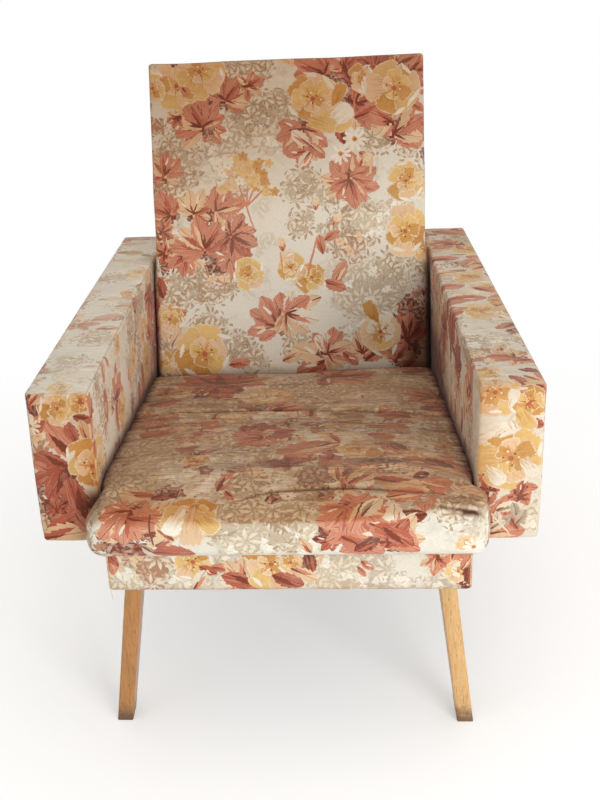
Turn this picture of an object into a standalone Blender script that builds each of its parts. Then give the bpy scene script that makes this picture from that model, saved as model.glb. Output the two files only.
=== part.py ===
"""A low upholstered armchair with square padded arms, a leaning back, a sprung seat and splayed legs.

Metres, +Z up. The chair faces -Y and stands on z = 0, with the origin under the middle of its outer box.
Lengths along Y are written from the front face of the arms, and the empty armchair_origin shifts them.
"""

import math

import bmesh
import bpy
from mathutils import Vector

# Outer sizes
OVERALL_WIDTH = 0.700
ARM_THICKNESS = 0.088
ARM_LENGTH = 0.780
BASE_BOTTOM = 0.239
ARM_RISE = 0.079
ARM_HEIGHT = 0.233
BASE_FRONT = -0.009
BASE_BEHIND_BACK = 0.1035
BACK_ARM_GAP = 0.0095
BACK_HEIGHT = 0.591
BACK_THICKNESS = 0.080
BACK_LEAN = math.radians(14.25)
BACK_FOOT_Y = 0.5215
BACK_FOOT_RISE = 0.099
NOSE_OVERHANG = 0.045
NOSE_SPREAD = 0.018

# Stock and clearances
CLOTH = 0.0012
SEAT_GAP = 0.0003
SCREW_CLEARANCE = 0.0003
END_RAIL_THICKNESS = 0.020
SIDE_RAIL_THICKNESS = 0.018
END_RAIL_HEIGHT = 0.064
SIDE_RAIL_FRONT_HEIGHT = 0.128
SIDE_RAIL_REAR_HEIGHT = 0.075
CLOTH_TURN_IN = 0.015
DUST_CLOTH = 0.0008

# Arms
ARM_RADIUS = 0.008
ARM_BOARD = 0.010
ARM_SIDE_WADDING = 0.014
ARM_TOP_WADDING = 0.021
ARM_BATTEN_HEIGHT = 0.0247
ARM_BATTEN_DEPTH = 0.040
ARM_COVER_SLIT = 0.006

# Back
BACK_RADIUS = 0.008
BACK_FOAM = 0.037
BACK_TOP_WADDING = 0.0117
BACK_BOARD = 0.004
STILE_WIDTH = 0.045
STILE_REAR_GAP = 0.0007
STILE_DROP = 0.037
BACK_RAIL_HEIGHT = 0.050
BACK_LOWER_RAIL_FOOT = 0.010

# Legs
LEG_WIDTH = 0.025
LEG_DEPTH = 0.050
LEG_REACH = 0.041
LEG_KNEE_DROP = 0.0015
LEG_SPLAY = 0.029
FOOT_WIDTH = 0.024
FOOT_DEPTH = 0.032
FRONT_FOOT_RAKE = 0.021
REAR_FOOT_RAKE = 0.037
LEG_EDGE = 0.002

# Seat suspension and seat
SPRING_WIRE = 0.0017
SPRING_COUNT = 4
SPRING_PITCH_ACROSS = 0.110
SPRING_BARS = 21
SPRING_TURN_STEPS = 3
SPRING_HALF_WIDTH = 0.024
CLIP_PLATE = 0.0012
CLIP_WIDTH = 0.014
CLIP_HALF_LENGTH = 0.009
HESSIAN = 0.0012
SEAT_FRONT_THICKNESS = 0.098
SEAT_TOP_SLOPE = 0.112
SEAT_BACK_GAP = 0.003
SEAT_WELL_CLEARANCE = 0.007
SEAT_ARM_GAP = 0.0005
NOSE_ARM_GAP = 0.0008
NOSE_ROUND = 0.024
NOSE_UNDER_ROUND = 0.020
SEAT_OPENING_MARGIN = 0.042
STILE_NOTCH_ROOM = 0.0006
DUST_NOTCH_ROOM = 0.003

# Screws
SCREW_RADIUS = 0.003
SCREW_HEAD_RADIUS = 0.0058
SCREW_HEAD = 0.004
SCREW_TIP = 0.004
LEG_SCREW_LENGTH = 0.038
LEG_SCREW_RISES = (0.0145, 0.0305)
ARM_FRONT_SCREW_RISE = 0.104
ARM_REAR_SCREW_RISE = 0.181
ARM_SCREW_RADIUS = 0.004
ARM_SCREW_COVER = 0.0118
BACK_SCREW_RISE = 0.063
BACK_SCREW_BITE = 0.013

OVER = 0.010

ARM_OUTER = OVERALL_WIDTH / 2
ARM_INNER = ARM_OUTER - ARM_THICKNESS
BASE_HALF_WIDTH = ARM_INNER - SEAT_GAP
BASE_REAR = BACK_FOOT_Y + BASE_BEHIND_BACK
BACK_WIDTH = 2 * (ARM_INNER - BACK_ARM_GAP)
BAND = CLOTH + SEAT_GAP
RAIL_OUTER = BASE_HALF_WIDTH - BAND
RAIL_INNER = RAIL_OUTER - SIDE_RAIL_THICKNESS
RAIL_BOTTOM = BASE_BOTTOM + BAND
END_RAIL_TOP = BASE_BOTTOM + END_RAIL_HEIGHT
ARM_BOTTOM = BASE_BOTTOM + ARM_RISE
ARM_TOP = ARM_BOTTOM + ARM_HEIGHT
BACK_FOOT_Z = BASE_BOTTOM + BACK_FOOT_RISE
LEG_TOP = BASE_BOTTOM + LEG_REACH
LEG_KNEE = BASE_BOTTOM - LEG_KNEE_DROP
FRONT_RAIL = (BASE_FRONT + BAND, BASE_FRONT + BAND + END_RAIL_THICKNESS)
REAR_RAIL = (BASE_REAR - BAND - END_RAIL_THICKNESS, BASE_REAR - BAND)
SIDE_RAIL = (FRONT_RAIL[1] + SEAT_GAP, REAR_RAIL[0] - SEAT_GAP)
HESSIAN_BOTTOM = END_RAIL_TOP + 2 * SPRING_WIRE + 2 * SEAT_GAP + CLIP_PLATE + SEAT_GAP
SEAT_BOTTOM = HESSIAN_BOTTOM + HESSIAN + SEAT_GAP
SEAT_REAR = BACK_FOOT_Y - SEAT_BACK_GAP
LEG_OUTER = RAIL_INNER - SEAT_GAP
SIDES = (("left", -1), ("right", 1))


def rail_top(y):
    """Height of the side rails' raked top edge."""
    share = (y - SIDE_RAIL[0]) / (SIDE_RAIL[1] - SIDE_RAIL[0])
    height = SIDE_RAIL_FRONT_HEIGHT + share * (SIDE_RAIL_REAR_HEIGHT - SIDE_RAIL_FRONT_HEIGHT)
    return BASE_BOTTOM + height


def seat_top(y):
    return SEAT_BOTTOM + SEAT_FRONT_THICKNESS - SEAT_TOP_SLOPE * y


def clear_scene():
    for obj in list(bpy.data.objects):
        bpy.data.objects.remove(obj, do_unlink=True)


def collection(name, hidden=False):
    made = bpy.data.collections.new(name)
    made.hide_render = hidden
    bpy.context.scene.collection.children.link(made)
    return made


def material(name, colour, roughness, metallic=0.0):
    made = bpy.data.materials.new(name)
    made.use_nodes = True
    shader = made.node_tree.nodes["Principled BSDF"]
    shader.inputs["Base Color"].default_value = (*colour, 1.0)
    shader.inputs["Roughness"].default_value = roughness
    shader.inputs["Metallic"].default_value = metallic
    return made


def empty(name, location, lean=0.0, parent=None):
    made = bpy.data.objects.new(name, None)
    PARTS.objects.link(made)
    made.location = location
    made.rotation_euler = (lean, 0.0, 0.0)
    made.parent = parent
    return made


def keep(obj, name, look, parent):
    """Names an object, gives it a parent and a material, or makes it a cutter if it has no material."""
    obj.name = name
    for owner in list(obj.users_collection):
        owner.objects.unlink(obj)
    obj.parent = parent
    if look is None:
        CUTTERS.objects.link(obj)
        obj.hide_render = True
        obj.display_type = "WIRE"
        return obj
    PARTS.objects.link(obj)
    obj.data.materials.append(look)
    return obj


def bevel(obj, width, segments=2):
    made = obj.modifiers.new("Edges", "BEVEL")
    made.width = width
    made.segments = segments
    made.limit_method = "ANGLE"
    return obj


def boolean(obj, operation, *others):
    for other in others:
        made = obj.modifiers.new(operation.title() + "_" + other.name, "BOOLEAN")
        made.operation = operation
        made.solver = "EXACT"
        made.object = other
    return obj


def box(name, low, high, look=None, parent=None, radius=0.0, segments=2):
    low, high = Vector(map(min, low, high)), Vector(map(max, low, high))
    bpy.ops.mesh.primitive_cube_add(size=1.0, location=(low + high) / 2)
    obj = bpy.context.object
    obj.scale = high - low
    bpy.ops.object.transform_apply(location=False, rotation=False, scale=True)
    if radius:
        bevel(obj, radius, segments)
    return keep(obj, name, look, parent or CHAIR)


def curve_object(name, points, cyclic):
    """A one-spline curve object through the points."""
    curve = bpy.data.curves.new(name, "CURVE")
    spline = curve.splines.new("POLY")
    spline.points.add(len(points) - 1)
    for slot, point in zip(spline.points, points):
        slot.co = (*point, *(0.0,) * (3 - len(point)), 1.0)
    spline.use_cyclic_u = cyclic
    return bpy.data.objects.new(name, curve)


def prism(name, outline, first, last, along, look=None, parent=None):
    """A board from first to last along X, with its outline in (y, z), or along Y, with it in (x, z)."""
    made = curve_object(name + "_outline", outline, True)
    made.data.dimensions = "2D"
    made.data.fill_mode = "BOTH"
    made.data.extrude = abs(last - first) / 2
    bpy.context.scene.collection.objects.link(made)
    bpy.context.view_layer.update()
    graph = bpy.context.evaluated_depsgraph_get()
    mesh = bpy.data.meshes.new_from_object(made.evaluated_get(graph))
    bpy.data.objects.remove(made, do_unlink=True)
    sheet = bmesh.new()
    sheet.from_mesh(mesh)
    bmesh.ops.remove_doubles(sheet, verts=sheet.verts, dist=1e-5)
    bmesh.ops.recalc_face_normals(sheet, faces=sheet.faces)
    sheet.to_mesh(mesh)
    sheet.free()
    obj = bpy.data.objects.new(name, mesh)
    bpy.context.scene.collection.objects.link(obj)
    middle = (first + last) / 2
    if along == "X":
        obj.rotation_euler = (math.pi / 2, 0.0, math.pi / 2)
        obj.location = (middle, 0.0, 0.0)
    else:
        obj.rotation_euler = (math.pi / 2, 0.0, 0.0)
        obj.location = (0.0, middle, 0.0)
    return keep(obj, name, look, parent or CHAIR)


def rod(name, start, length, radius, vertices=12, look=None, parent=None, tip=0.0):
    """A round bar along +X from start, with an optional tapered tip; a negative length runs it along -X."""
    sheet = bmesh.new()
    bmesh.ops.create_cone(
        sheet, cap_ends=True, segments=vertices, radius1=radius, radius2=radius, depth=1.0
    )
    body = abs(length) - tip
    for vert in sheet.verts:
        vert.co.z = (vert.co.z + 0.5) * body
    if tip:
        end = [f for f in sheet.faces if f.calc_center_median().z > body - 1e-6]
        made = bmesh.ops.extrude_discrete_faces(sheet, faces=end)["faces"]
        corners = {v for f in made for v in f.verts}
        bmesh.ops.translate(sheet, verts=list(corners), vec=(0.0, 0.0, tip))
        bmesh.ops.scale(sheet, verts=list(corners), vec=(0.35, 0.35, 1.0))
        bmesh.ops.remove_doubles(sheet, verts=sheet.verts, dist=1e-6)
    mesh = bpy.data.meshes.new(name)
    sheet.to_mesh(mesh)
    sheet.free()
    obj = bpy.data.objects.new(name, mesh)
    bpy.context.scene.collection.objects.link(obj)
    obj.rotation_euler = (0.0, math.copysign(math.pi / 2, length), 0.0)
    obj.location = start
    return keep(obj, name, look, parent or CHAIR)


def coach_screw(name, seat, side, length, radius=SCREW_RADIUS):
    """A hexagon-headed wood screw whose head bears on the point seat and which runs outwards."""
    x, y, z = seat
    scale = radius / SCREW_RADIUS
    head_depth = SCREW_HEAD * scale
    underside = x - side * SEAT_GAP
    shank = rod(name, (underside - side * head_depth / 2, y, z), side * (length + head_depth / 2),
                radius, look=STEEL, tip=SCREW_TIP)
    head = rod(name + "_head", (underside - side * head_depth, y, z), side * head_depth,
               SCREW_HEAD_RADIUS * scale, vertices=6)
    return boolean(shank, "UNION", head)


def screw_hole(name, start, side, length, radius=SCREW_RADIUS):
    x, y, z = start
    return rod(name, (x - side * OVER, y, z), side * (length + OVER), radius + SCREW_CLEARANCE)


def make_base_frame():
    for name, (near, far) in (("front_rail", FRONT_RAIL), ("rear_rail", REAR_RAIL)):
        box(name, (-RAIL_OUTER, near, RAIL_BOTTOM), (RAIL_OUTER, far, END_RAIL_TOP), PINE)
    outline = (
        (SIDE_RAIL[0], RAIL_BOTTOM),
        (SIDE_RAIL[1], RAIL_BOTTOM),
        (SIDE_RAIL[1], rail_top(SIDE_RAIL[1])),
        (SIDE_RAIL[0], rail_top(SIDE_RAIL[0])),
    )
    return {
        word: prism("side_rail_" + word, outline, side * RAIL_INNER, side * RAIL_OUTER, "X", PINE)
        for word, side in SIDES
    }


def leg_front_outline(side):
    """The leg seen from the front: upright against the side rail, then splayed outwards below the seat."""
    inner = LEG_OUTER - LEG_WIDTH
    foot = LEG_OUTER + LEG_SPLAY
    points = (
        (inner, LEG_TOP),
        (LEG_OUTER, LEG_TOP),
        (LEG_OUTER, LEG_KNEE),
        (foot, 0.0),
        (foot - FOOT_WIDTH, 0.0),
        (inner, LEG_KNEE),
    )
    return [(side * x, z) for x, z in points]


def leg_side_outline(rail_face, inward, rake):
    """The leg seen from the side: deep where it meets the rails, and tapered to the foot."""
    points = (
        (0.0, LEG_TOP),
        (LEG_DEPTH, LEG_TOP),
        (LEG_DEPTH, LEG_KNEE),
        (FOOT_DEPTH - rake, 0.0),
        (-rake, 0.0),
        (0.0, LEG_KNEE),
    )
    return [(rail_face + inward * y, z) for y, z in points]


def make_legs(side_rails):
    ends = (
        ("front", FRONT_RAIL[1] + SEAT_GAP, 1, FRONT_FOOT_RAKE),
        ("rear", REAR_RAIL[0] - SEAT_GAP, -1, REAR_FOOT_RAKE),
    )
    for end, rail_face, inward, rake in ends:
        for word, side in SIDES:
            name = f"leg_{end}_{word}"
            far = rail_face + inward * (LEG_DEPTH + OVER)
            near = rail_face - inward * (rake + OVER)
            leg = prism(name, leg_front_outline(side), near, far, "Y", BEECH)
            profile = prism(name + "_profile", leg_side_outline(rail_face, inward, rake),
                            side * (RAIL_INNER - 0.10), side * (RAIL_INNER + 0.10), "X")
            boolean(leg, "INTERSECT", profile)
            bevel(leg, LEG_EDGE, 1)
            inner_face = side * (LEG_OUTER - LEG_WIDTH)
            y = rail_face + inward * LEG_DEPTH / 2
            for number, rise in enumerate(LEG_SCREW_RISES, 1):
                seat = (inner_face, y, BASE_BOTTOM + rise)
                coach_screw(f"leg_screw_{end}_{word}_{number}", seat, side, LEG_SCREW_LENGTH)
                hole = screw_hole(f"{name}_hole_{number}", seat, side, LEG_SCREW_LENGTH + SEAT_GAP)
                boolean(leg, "DIFFERENCE", hole)
                boolean(side_rails[word], "DIFFERENCE", hole)


def spring_line(x):
    """The zigzag wire from the front rail to the rear rail: bars across the seat, joined by half circles."""
    first = sum(FRONT_RAIL) / 2
    pitch = (sum(REAR_RAIL) / 2 - first) / (SPRING_BARS - 1)
    turn = pitch / 2
    straight = SPRING_HALF_WIDTH - turn
    z = END_RAIL_TOP + SEAT_GAP + SPRING_WIRE
    points = [(x - SPRING_HALF_WIDTH + SPRING_WIRE, first, z)]
    for bar in range(SPRING_BARS - 1):
        way = 1 if bar % 2 == 0 else -1
        middle = first + pitch * (bar + 0.5)
        for step in range(SPRING_TURN_STEPS + 1):
            angle = math.pi * (step / SPRING_TURN_STEPS - 0.5)
            reach = straight + turn * math.cos(angle)
            points.append((x + way * reach, middle + turn * math.sin(angle), z))
    way = 1 if SPRING_BARS % 2 == 1 else -1
    points.append((x + way * (SPRING_HALF_WIDTH - SPRING_WIRE), first + pitch * (SPRING_BARS - 1), z))
    return points


def clip_outline(y):
    """A bent steel plate seen from the side: flat on the rail on both sides of the wire, raised over it."""
    floor = END_RAIL_TOP + SEAT_GAP
    bore = SPRING_WIRE + SEAT_GAP
    rise = 2 * bore
    under = [(y - CLIP_HALF_LENGTH, floor), (y - bore, floor), (y - bore, floor + rise - SEAT_GAP)]
    under += [(y + bore, floor + rise - SEAT_GAP), (y + bore, floor), (y + CLIP_HALF_LENGTH, floor)]
    over = [(y + CLIP_HALF_LENGTH, floor + CLIP_PLATE), (y + bore + CLIP_PLATE, floor + CLIP_PLATE)]
    over += [(y + bore + CLIP_PLATE, floor + rise - SEAT_GAP + CLIP_PLATE)]
    over += [(y - bore - CLIP_PLATE, floor + rise - SEAT_GAP + CLIP_PLATE)]
    over += [(y - bore - CLIP_PLATE, floor + CLIP_PLATE), (y - CLIP_HALF_LENGTH, floor + CLIP_PLATE)]
    return under + over


def make_springs():
    for number in range(SPRING_COUNT):
        x = (number - (SPRING_COUNT - 1) / 2) * SPRING_PITCH_ACROSS
        name = f"seat_spring_{number + 1}"
        spring = curve_object(name, spring_line(x), False)
        spring.data.dimensions = "3D"
        spring.data.bevel_depth = SPRING_WIRE
        spring.data.bevel_resolution = 2
        spring.data.use_fill_caps = True
        bpy.context.scene.collection.objects.link(spring)
        keep(spring, name, STEEL, CHAIR)
        for end, rail in (("front", FRONT_RAIL), ("rear", REAR_RAIL)):
            prism(f"spring_clip_{end}_{number + 1}", clip_outline(sum(rail) / 2),
                  x - CLIP_WIDTH / 2, x + CLIP_WIDTH / 2, "X", STEEL)


def make_hessian():
    low, high = HESSIAN_BOTTOM, HESSIAN_BOTTOM + HESSIAN
    half = RAIL_INNER - SEAT_GAP
    sheet = box("seat_hessian", (-half, FRONT_RAIL[0], low), (half, REAR_RAIL[1], high), JUTE)
    for word, side in SIDES:
        notch = box(
            "hessian_notch_" + word,
            (side * (RAIL_INNER + OVER), STILE_FOOT_FRONT, low - OVER),
            (side * (STILE_INNER - STILE_NOTCH_ROOM), REAR_RAIL[1] + OVER, high + OVER),
        )
        boolean(sheet, "DIFFERENCE", notch)


def arc(centre_y, centre_z, radius, start, end, steps):
    """Points of a round edge in the seat's side view, the angles in degrees from +Y."""
    found = []
    for step in range(steps + 1):
        angle = math.radians(start + (end - start) * step / steps)
        found.append((centre_y + radius * math.cos(angle), centre_z + radius * math.sin(angle)))
    return found


def seat_side_view(inset, rear_points):
    """Side view of the seat drawn in by inset: the round nose, and the points behind it, top down."""
    front = -NOSE_OVERHANG + inset
    crown = NOSE_ROUND - inset
    under = NOSE_UNDER_ROUND - inset
    crest = arc(front + crown, seat_top(0.0) - inset - crown, crown, 180, 95, 4)
    hem = arc(front + under, SEAT_BOTTOM + inset + under, under, 270, 180, 4)
    return crest + rear_points + hem


def seat_solid(name, inset, look=None):
    """The seat drawn in by inset: a body in the well, a wider slab over the side rails, and the nose."""
    rear = SEAT_REAR - inset
    top = (rear, seat_top(SEAT_REAR) - inset)
    bottom = SEAT_BOTTOM + inset
    ledge = SIDE_RAIL[0] - 2 * SEAT_GAP
    over_rail = 2 * SEAT_GAP + inset
    nose_rear = -NOSE_ARM_GAP - inset
    well = seat_side_view(inset, [top, (rear, bottom)])
    slab = seat_side_view(inset, [
        top,
        (rear, rail_top(SEAT_REAR) + over_rail),
        (ledge, rail_top(SIDE_RAIL[0]) + over_rail),
        (ledge, bottom),
    ])
    nose = seat_side_view(inset, [(nose_rear, seat_top(0.0) - inset), (nose_rear, bottom)])
    layers = (
        (name, well, RAIL_INNER - SEAT_WELL_CLEARANCE, look),
        (name + "_slab", slab, ARM_INNER - SEAT_ARM_GAP, None),
        (name + "_nose", nose, ARM_INNER + NOSE_SPREAD, None),
    )
    solids = [prism(label, view, inset - half, half - inset, "X", skin) for label, view, half, skin in layers]
    return boolean(solids[0], "UNION", *solids[1:])


def make_seat():
    seat_solid("seat_pad", CLOTH + SEAT_GAP, FOAM)
    cover = seat_solid("seat_cover", 0.0, FLORAL)
    half = RAIL_INNER - SEAT_OPENING_MARGIN
    opening = box(
        "seat_cover_opening",
        (-half, SEAT_OPENING_MARGIN, SEAT_BOTTOM - OVER),
        (half, SEAT_REAR - SEAT_OPENING_MARGIN, SEAT_BOTTOM + 2 * CLOTH),
    )
    boolean(cover, "DIFFERENCE", seat_solid("seat_cover_inside", CLOTH), opening)


def shell(name, low, high, thickness, radius, look, parent, opening_low, opening_high):
    """A rounded box of cloth with an opening through which its filling goes in."""
    outer = box(name, low, high, look, parent, radius, 3)
    wall = Vector((thickness,) * 3)
    inside = Vector(low) + wall, Vector(high) - wall
    inner = box(name + "_inside", *inside, None, parent, radius - thickness, 3)
    opening = box(name + "_opening", opening_low, opening_high, None, parent)
    return boolean(outer, "DIFFERENCE", inner, opening)


def make_arm(word, side, rail):
    def across(first, second):
        return min(side * first, side * second), max(side * first, side * second)

    inset = CLOTH + SEAT_GAP
    x0, x1 = across(ARM_INNER, ARM_OUTER)
    cover = shell(
        "arm_cover_" + word, (x0, 0.0, ARM_BOTTOM), (x1, ARM_LENGTH, ARM_TOP),
        CLOTH, ARM_RADIUS, FLORAL, CHAIR,
        ((x0 + x1 - ARM_COVER_SLIT) / 2, 2 * ARM_SIDE_WADDING, ARM_BOTTOM - OVER),
        ((x0 + x1 + ARM_COVER_SLIT) / 2, ARM_LENGTH - 2 * ARM_SIDE_WADDING, ARM_BOTTOM + OVER),
    )
    foot = ARM_BOTTOM + inset
    wadding = box("arm_wadding_" + word, (x0 + inset, inset, foot),
                  (x1 - inset, ARM_LENGTH - inset, ARM_TOP - inset), WADDING, None, ARM_RADIUS - inset, 2)
    core_in = ARM_INNER + inset + ARM_SIDE_WADDING
    core_out = ARM_OUTER - inset - ARM_SIDE_WADDING
    core_front = inset + ARM_SIDE_WADDING
    core_rear = ARM_LENGTH - core_front
    core_top = ARM_TOP - inset - ARM_TOP_WADDING
    c0, c1 = across(core_in, core_out)
    cavity = box("arm_cavity_" + word, (c0, core_front, foot - OVER), (c1, core_rear, core_top))
    boolean(wadding, "DIFFERENCE", cavity)

    ends = (core_front + SEAT_GAP, core_rear - SEAT_GAP)
    top = core_top - SEAT_GAP
    boards = {}
    for place, edge, way in (("inner", core_in + SEAT_GAP, 1), ("outer", core_out - SEAT_GAP, -1)):
        b0, b1 = across(edge, edge + way * ARM_BOARD)
        boards[place] = box(f"arm_{place}_board_{word}", (b0, ends[0], foot), (b1, ends[1], top), CHIPBOARD)
    m0, m1 = across(core_in + 2 * SEAT_GAP + ARM_BOARD, core_out - 2 * SEAT_GAP - ARM_BOARD)
    batten_bottom = top - ARM_BATTEN_HEIGHT
    box("arm_top_batten_" + word, (m0, ends[0], batten_bottom), (m1, ends[1], top), PINE)
    post_top = batten_bottom - SEAT_GAP
    front = box("arm_front_batten_" + word, (m0, ends[0], foot),
                (m1, ends[0] + ARM_BATTEN_DEPTH, post_top), PINE)
    rear_z = BASE_BOTTOM + ARM_REAR_SCREW_RISE
    rear_y = back_point(STILE_MIDDLE, rear_z)
    rear = box("arm_rear_batten_" + word, (m0, rear_y - ARM_BATTEN_DEPTH / 2, foot),
               (m1, rear_y + ARM_BATTEN_DEPTH / 2, post_top), PINE)

    batten_back = core_out - 2 * SEAT_GAP - ARM_BOARD
    front_z = BASE_BOTTOM + ARM_FRONT_SCREW_RISE
    front_seat = (side * RAIL_INNER, ends[0] + ARM_BATTEN_DEPTH / 2, front_z)
    rear_seat = (side * STILE_INNER, rear_y, rear_z)
    made = {}
    for end, seat in (("front", front_seat), ("rear", rear_seat)):
        length = batten_back - ARM_SCREW_COVER - abs(seat[0])
        coach_screw(f"arm_screw_{end}_{word}", seat, side, length, ARM_SCREW_RADIUS)
        hole = screw_hole(f"arm_hole_{end}_{word}", seat, side, length + SEAT_GAP, ARM_SCREW_RADIUS)
        made[end] = hole
    for hole in made.values():
        for piece in (cover, wadding, boards["inner"]):
            boolean(piece, "DIFFERENCE", hole)
    boolean(front, "DIFFERENCE", made["front"])
    boolean(rear, "DIFFERENCE", made["rear"])
    boolean(rail, "DIFFERENCE", made["front"])
    return made


def back_point(depth, z):
    """Y of a point of the back that lies depth behind its front face, at height z."""
    along = (z - BACK_FOOT_Z + depth * math.sin(BACK_LEAN)) / math.cos(BACK_LEAN)
    return BACK_FOOT_Y + along * math.sin(BACK_LEAN) + depth * math.cos(BACK_LEAN)


def make_back(arm_holes, side_rails):
    frame = empty("back_frame", (0.0, BACK_FOOT_Y, BACK_FOOT_Z), -BACK_LEAN, CHAIR)
    half = BACK_WIDTH / 2
    inset = CLOTH + SEAT_GAP
    cover = shell(
        "back_cover", (-half, 0.0, 0.0), (half, BACK_THICKNESS, BACK_HEIGHT),
        CLOTH, BACK_RADIUS, FLORAL, frame,
        (-STILE_OUTER - SEAT_GAP, BACK_FOAM + inset, -OVER),
        (STILE_OUTER + SEAT_GAP, BACK_THICKNESS - CLOTH, OVER),
    )
    foam = box(
        "back_foam", (-half + inset, inset, inset),
        (half - inset, BACK_THICKNESS - inset, BACK_HEIGHT - inset), FOAM, frame, BACK_RADIUS - inset, 2,
    )
    core_top = BACK_HEIGHT - inset - BACK_TOP_WADDING
    pocket = box("back_pocket", (-STILE_OUTER - SEAT_GAP, inset + BACK_FOAM, -OVER),
                 (STILE_OUTER + SEAT_GAP, BACK_THICKNESS + OVER, core_top), None, frame)
    boolean(foam, "DIFFERENCE", pocket)
    board_front = inset + BACK_FOAM + SEAT_GAP
    top = core_top - SEAT_GAP
    box("back_board", (-STILE_OUTER, board_front, 2 * inset),
        (STILE_OUTER, board_front + BACK_BOARD, top), HARDBOARD, frame)
    near, far = STILE_FRONT, STILE_FRONT + STILE_DEPTH
    stiles = {}
    for word, side in SIDES:
        x0, x1 = sorted((side * STILE_INNER, side * STILE_OUTER))
        stiles[word] = box("back_stile_" + word, (x0, near, -STILE_DROP), (x1, far, top), PINE, frame)
    span = STILE_INNER - SEAT_GAP
    box("back_top_rail", (-span, near, top - BACK_RAIL_HEIGHT), (span, far, top), PINE, frame)
    box("back_lower_rail", (-span, near, BACK_LOWER_RAIL_FOOT),
        (span, far, BACK_LOWER_RAIL_FOOT + BACK_RAIL_HEIGHT), PINE, frame)

    screw_z = BASE_BOTTOM + BACK_SCREW_RISE
    screw_y = back_point(STILE_MIDDLE, screw_z)
    for word, side in SIDES:
        for piece in (cover, foam, stiles[word]):
            boolean(piece, "DIFFERENCE", arm_holes[word]["rear"])
        seat = (side * STILE_INNER, screw_y, screw_z)
        length = RAIL_INNER + BACK_SCREW_BITE - STILE_INNER
        coach_screw("back_screw_" + word, seat, side, length)
        hole = screw_hole("back_hole_" + word, seat, side, length + SEAT_GAP)
        boolean(stiles[word], "DIFFERENCE", hole)
        boolean(side_rails[word], "DIFFERENCE", hole)


def make_base_cloth(arm_holes):
    """The floral band round the base, turned in under the rails, and the dust cloth below them."""
    low = (-BASE_HALF_WIDTH, BASE_FRONT, BASE_BOTTOM)
    high = (BASE_HALF_WIDTH, BASE_REAR, rail_top(SIDE_RAIL[0]) + OVER)
    band = box("base_band", low, high, FLORAL)
    inside = box("base_band_inside", (low[0] + CLOTH, low[1] + CLOTH, low[2] + CLOTH),
                 (high[0] - CLOTH, high[1] - CLOTH, high[2] + OVER))
    mouth = box("base_band_mouth", (low[0] + CLOTH_TURN_IN, low[1] + CLOTH_TURN_IN, low[2] - OVER),
                (high[0] - CLOTH_TURN_IN, high[1] - CLOTH_TURN_IN, low[2] + OVER))
    end_top = END_RAIL_TOP - SEAT_GAP
    trim = SEAT_GAP
    outline = (
        (BASE_FRONT - OVER, end_top),
        (SIDE_RAIL[0], end_top),
        (SIDE_RAIL[0], rail_top(SIDE_RAIL[0]) - trim),
        (SIDE_RAIL[1], rail_top(SIDE_RAIL[1]) - trim),
        (SIDE_RAIL[1], end_top),
        (BASE_REAR + OVER, end_top),
        (BASE_REAR + OVER, high[2] + 2 * OVER),
        (BASE_FRONT - OVER, high[2] + 2 * OVER),
    )
    above = prism("base_band_above", outline, -BASE_HALF_WIDTH - OVER, BASE_HALF_WIDTH + OVER, "X")
    boolean(band, "DIFFERENCE", inside, mouth, above, *(holes["front"] for holes in arm_holes.values()))

    edge = CLOTH_TURN_IN + SEAT_GAP
    top = RAIL_BOTTOM - SEAT_GAP
    dust = box("dust_cloth", (-BASE_HALF_WIDTH + edge, BASE_FRONT + edge, top - DUST_CLOTH),
               (BASE_HALF_WIDTH - edge, BASE_REAR - edge, top), DARK_CLOTH)
    for end, face, inward in (("front", FRONT_RAIL[1], 1), ("rear", REAR_RAIL[0], -1)):
        for word, side in SIDES:
            inner = LEG_OUTER - LEG_WIDTH - DUST_NOTCH_ROOM
            notch = box(
                f"dust_notch_{end}_{word}",
                (side * inner, face + inward * (LEG_DEPTH + DUST_NOTCH_ROOM), top - OVER),
                (side * (BASE_HALF_WIDTH + OVER), face - inward * (CLOTH_TURN_IN + OVER), top + OVER),
            )
            boolean(dust, "DIFFERENCE", notch)


clear_scene()
PARTS = collection("armchair")
CUTTERS = collection("cutters", hidden=True)
FLORAL = material("floral_cotton", (0.62, 0.50, 0.38), 0.9)
BEECH = material("varnished_beech", (0.55, 0.30, 0.11), 0.45)
PINE = material("raw_pine", (0.62, 0.46, 0.28), 0.8)
CHIPBOARD = material("chipboard", (0.50, 0.38, 0.24), 0.85)
HARDBOARD = material("hardboard", (0.24, 0.14, 0.08), 0.7)
FOAM = material("yellowed_foam", (0.66, 0.52, 0.26), 0.95)
WADDING = material("grey_wadding", (0.52, 0.50, 0.46), 1.0)
JUTE = material("jute_hessian", (0.42, 0.31, 0.18), 1.0)
DARK_CLOTH = material("dust_cloth", (0.10, 0.09, 0.085), 0.95)
STEEL = material("dull_steel", (0.45, 0.44, 0.42), 0.45, 1.0)

STILE_OUTER = RAIL_INNER - SEAT_GAP
STILE_INNER = STILE_OUTER - STILE_WIDTH
STILE_FRONT = CLOTH + 3 * SEAT_GAP + BACK_FOAM + BACK_BOARD
STILE_DEPTH = BACK_THICKNESS - CLOTH - STILE_REAR_GAP - STILE_FRONT
STILE_MIDDLE = STILE_FRONT + STILE_DEPTH / 2
STILE_FOOT_FRONT = back_point(STILE_FRONT, HESSIAN_BOTTOM) - 0.004

CHAIR = empty("armchair_origin", (0.0, (NOSE_OVERHANG - ARM_LENGTH) / 2, 0.0))
SIDE_RAILS = make_base_frame()
make_legs(SIDE_RAILS)
make_springs()
make_hessian()
make_seat()
ARM_HOLES = {word: make_arm(word, side, SIDE_RAILS[word]) for word, side in SIDES}
make_back(ARM_HOLES, SIDE_RAILS)
make_base_cloth(ARM_HOLES)
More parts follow.
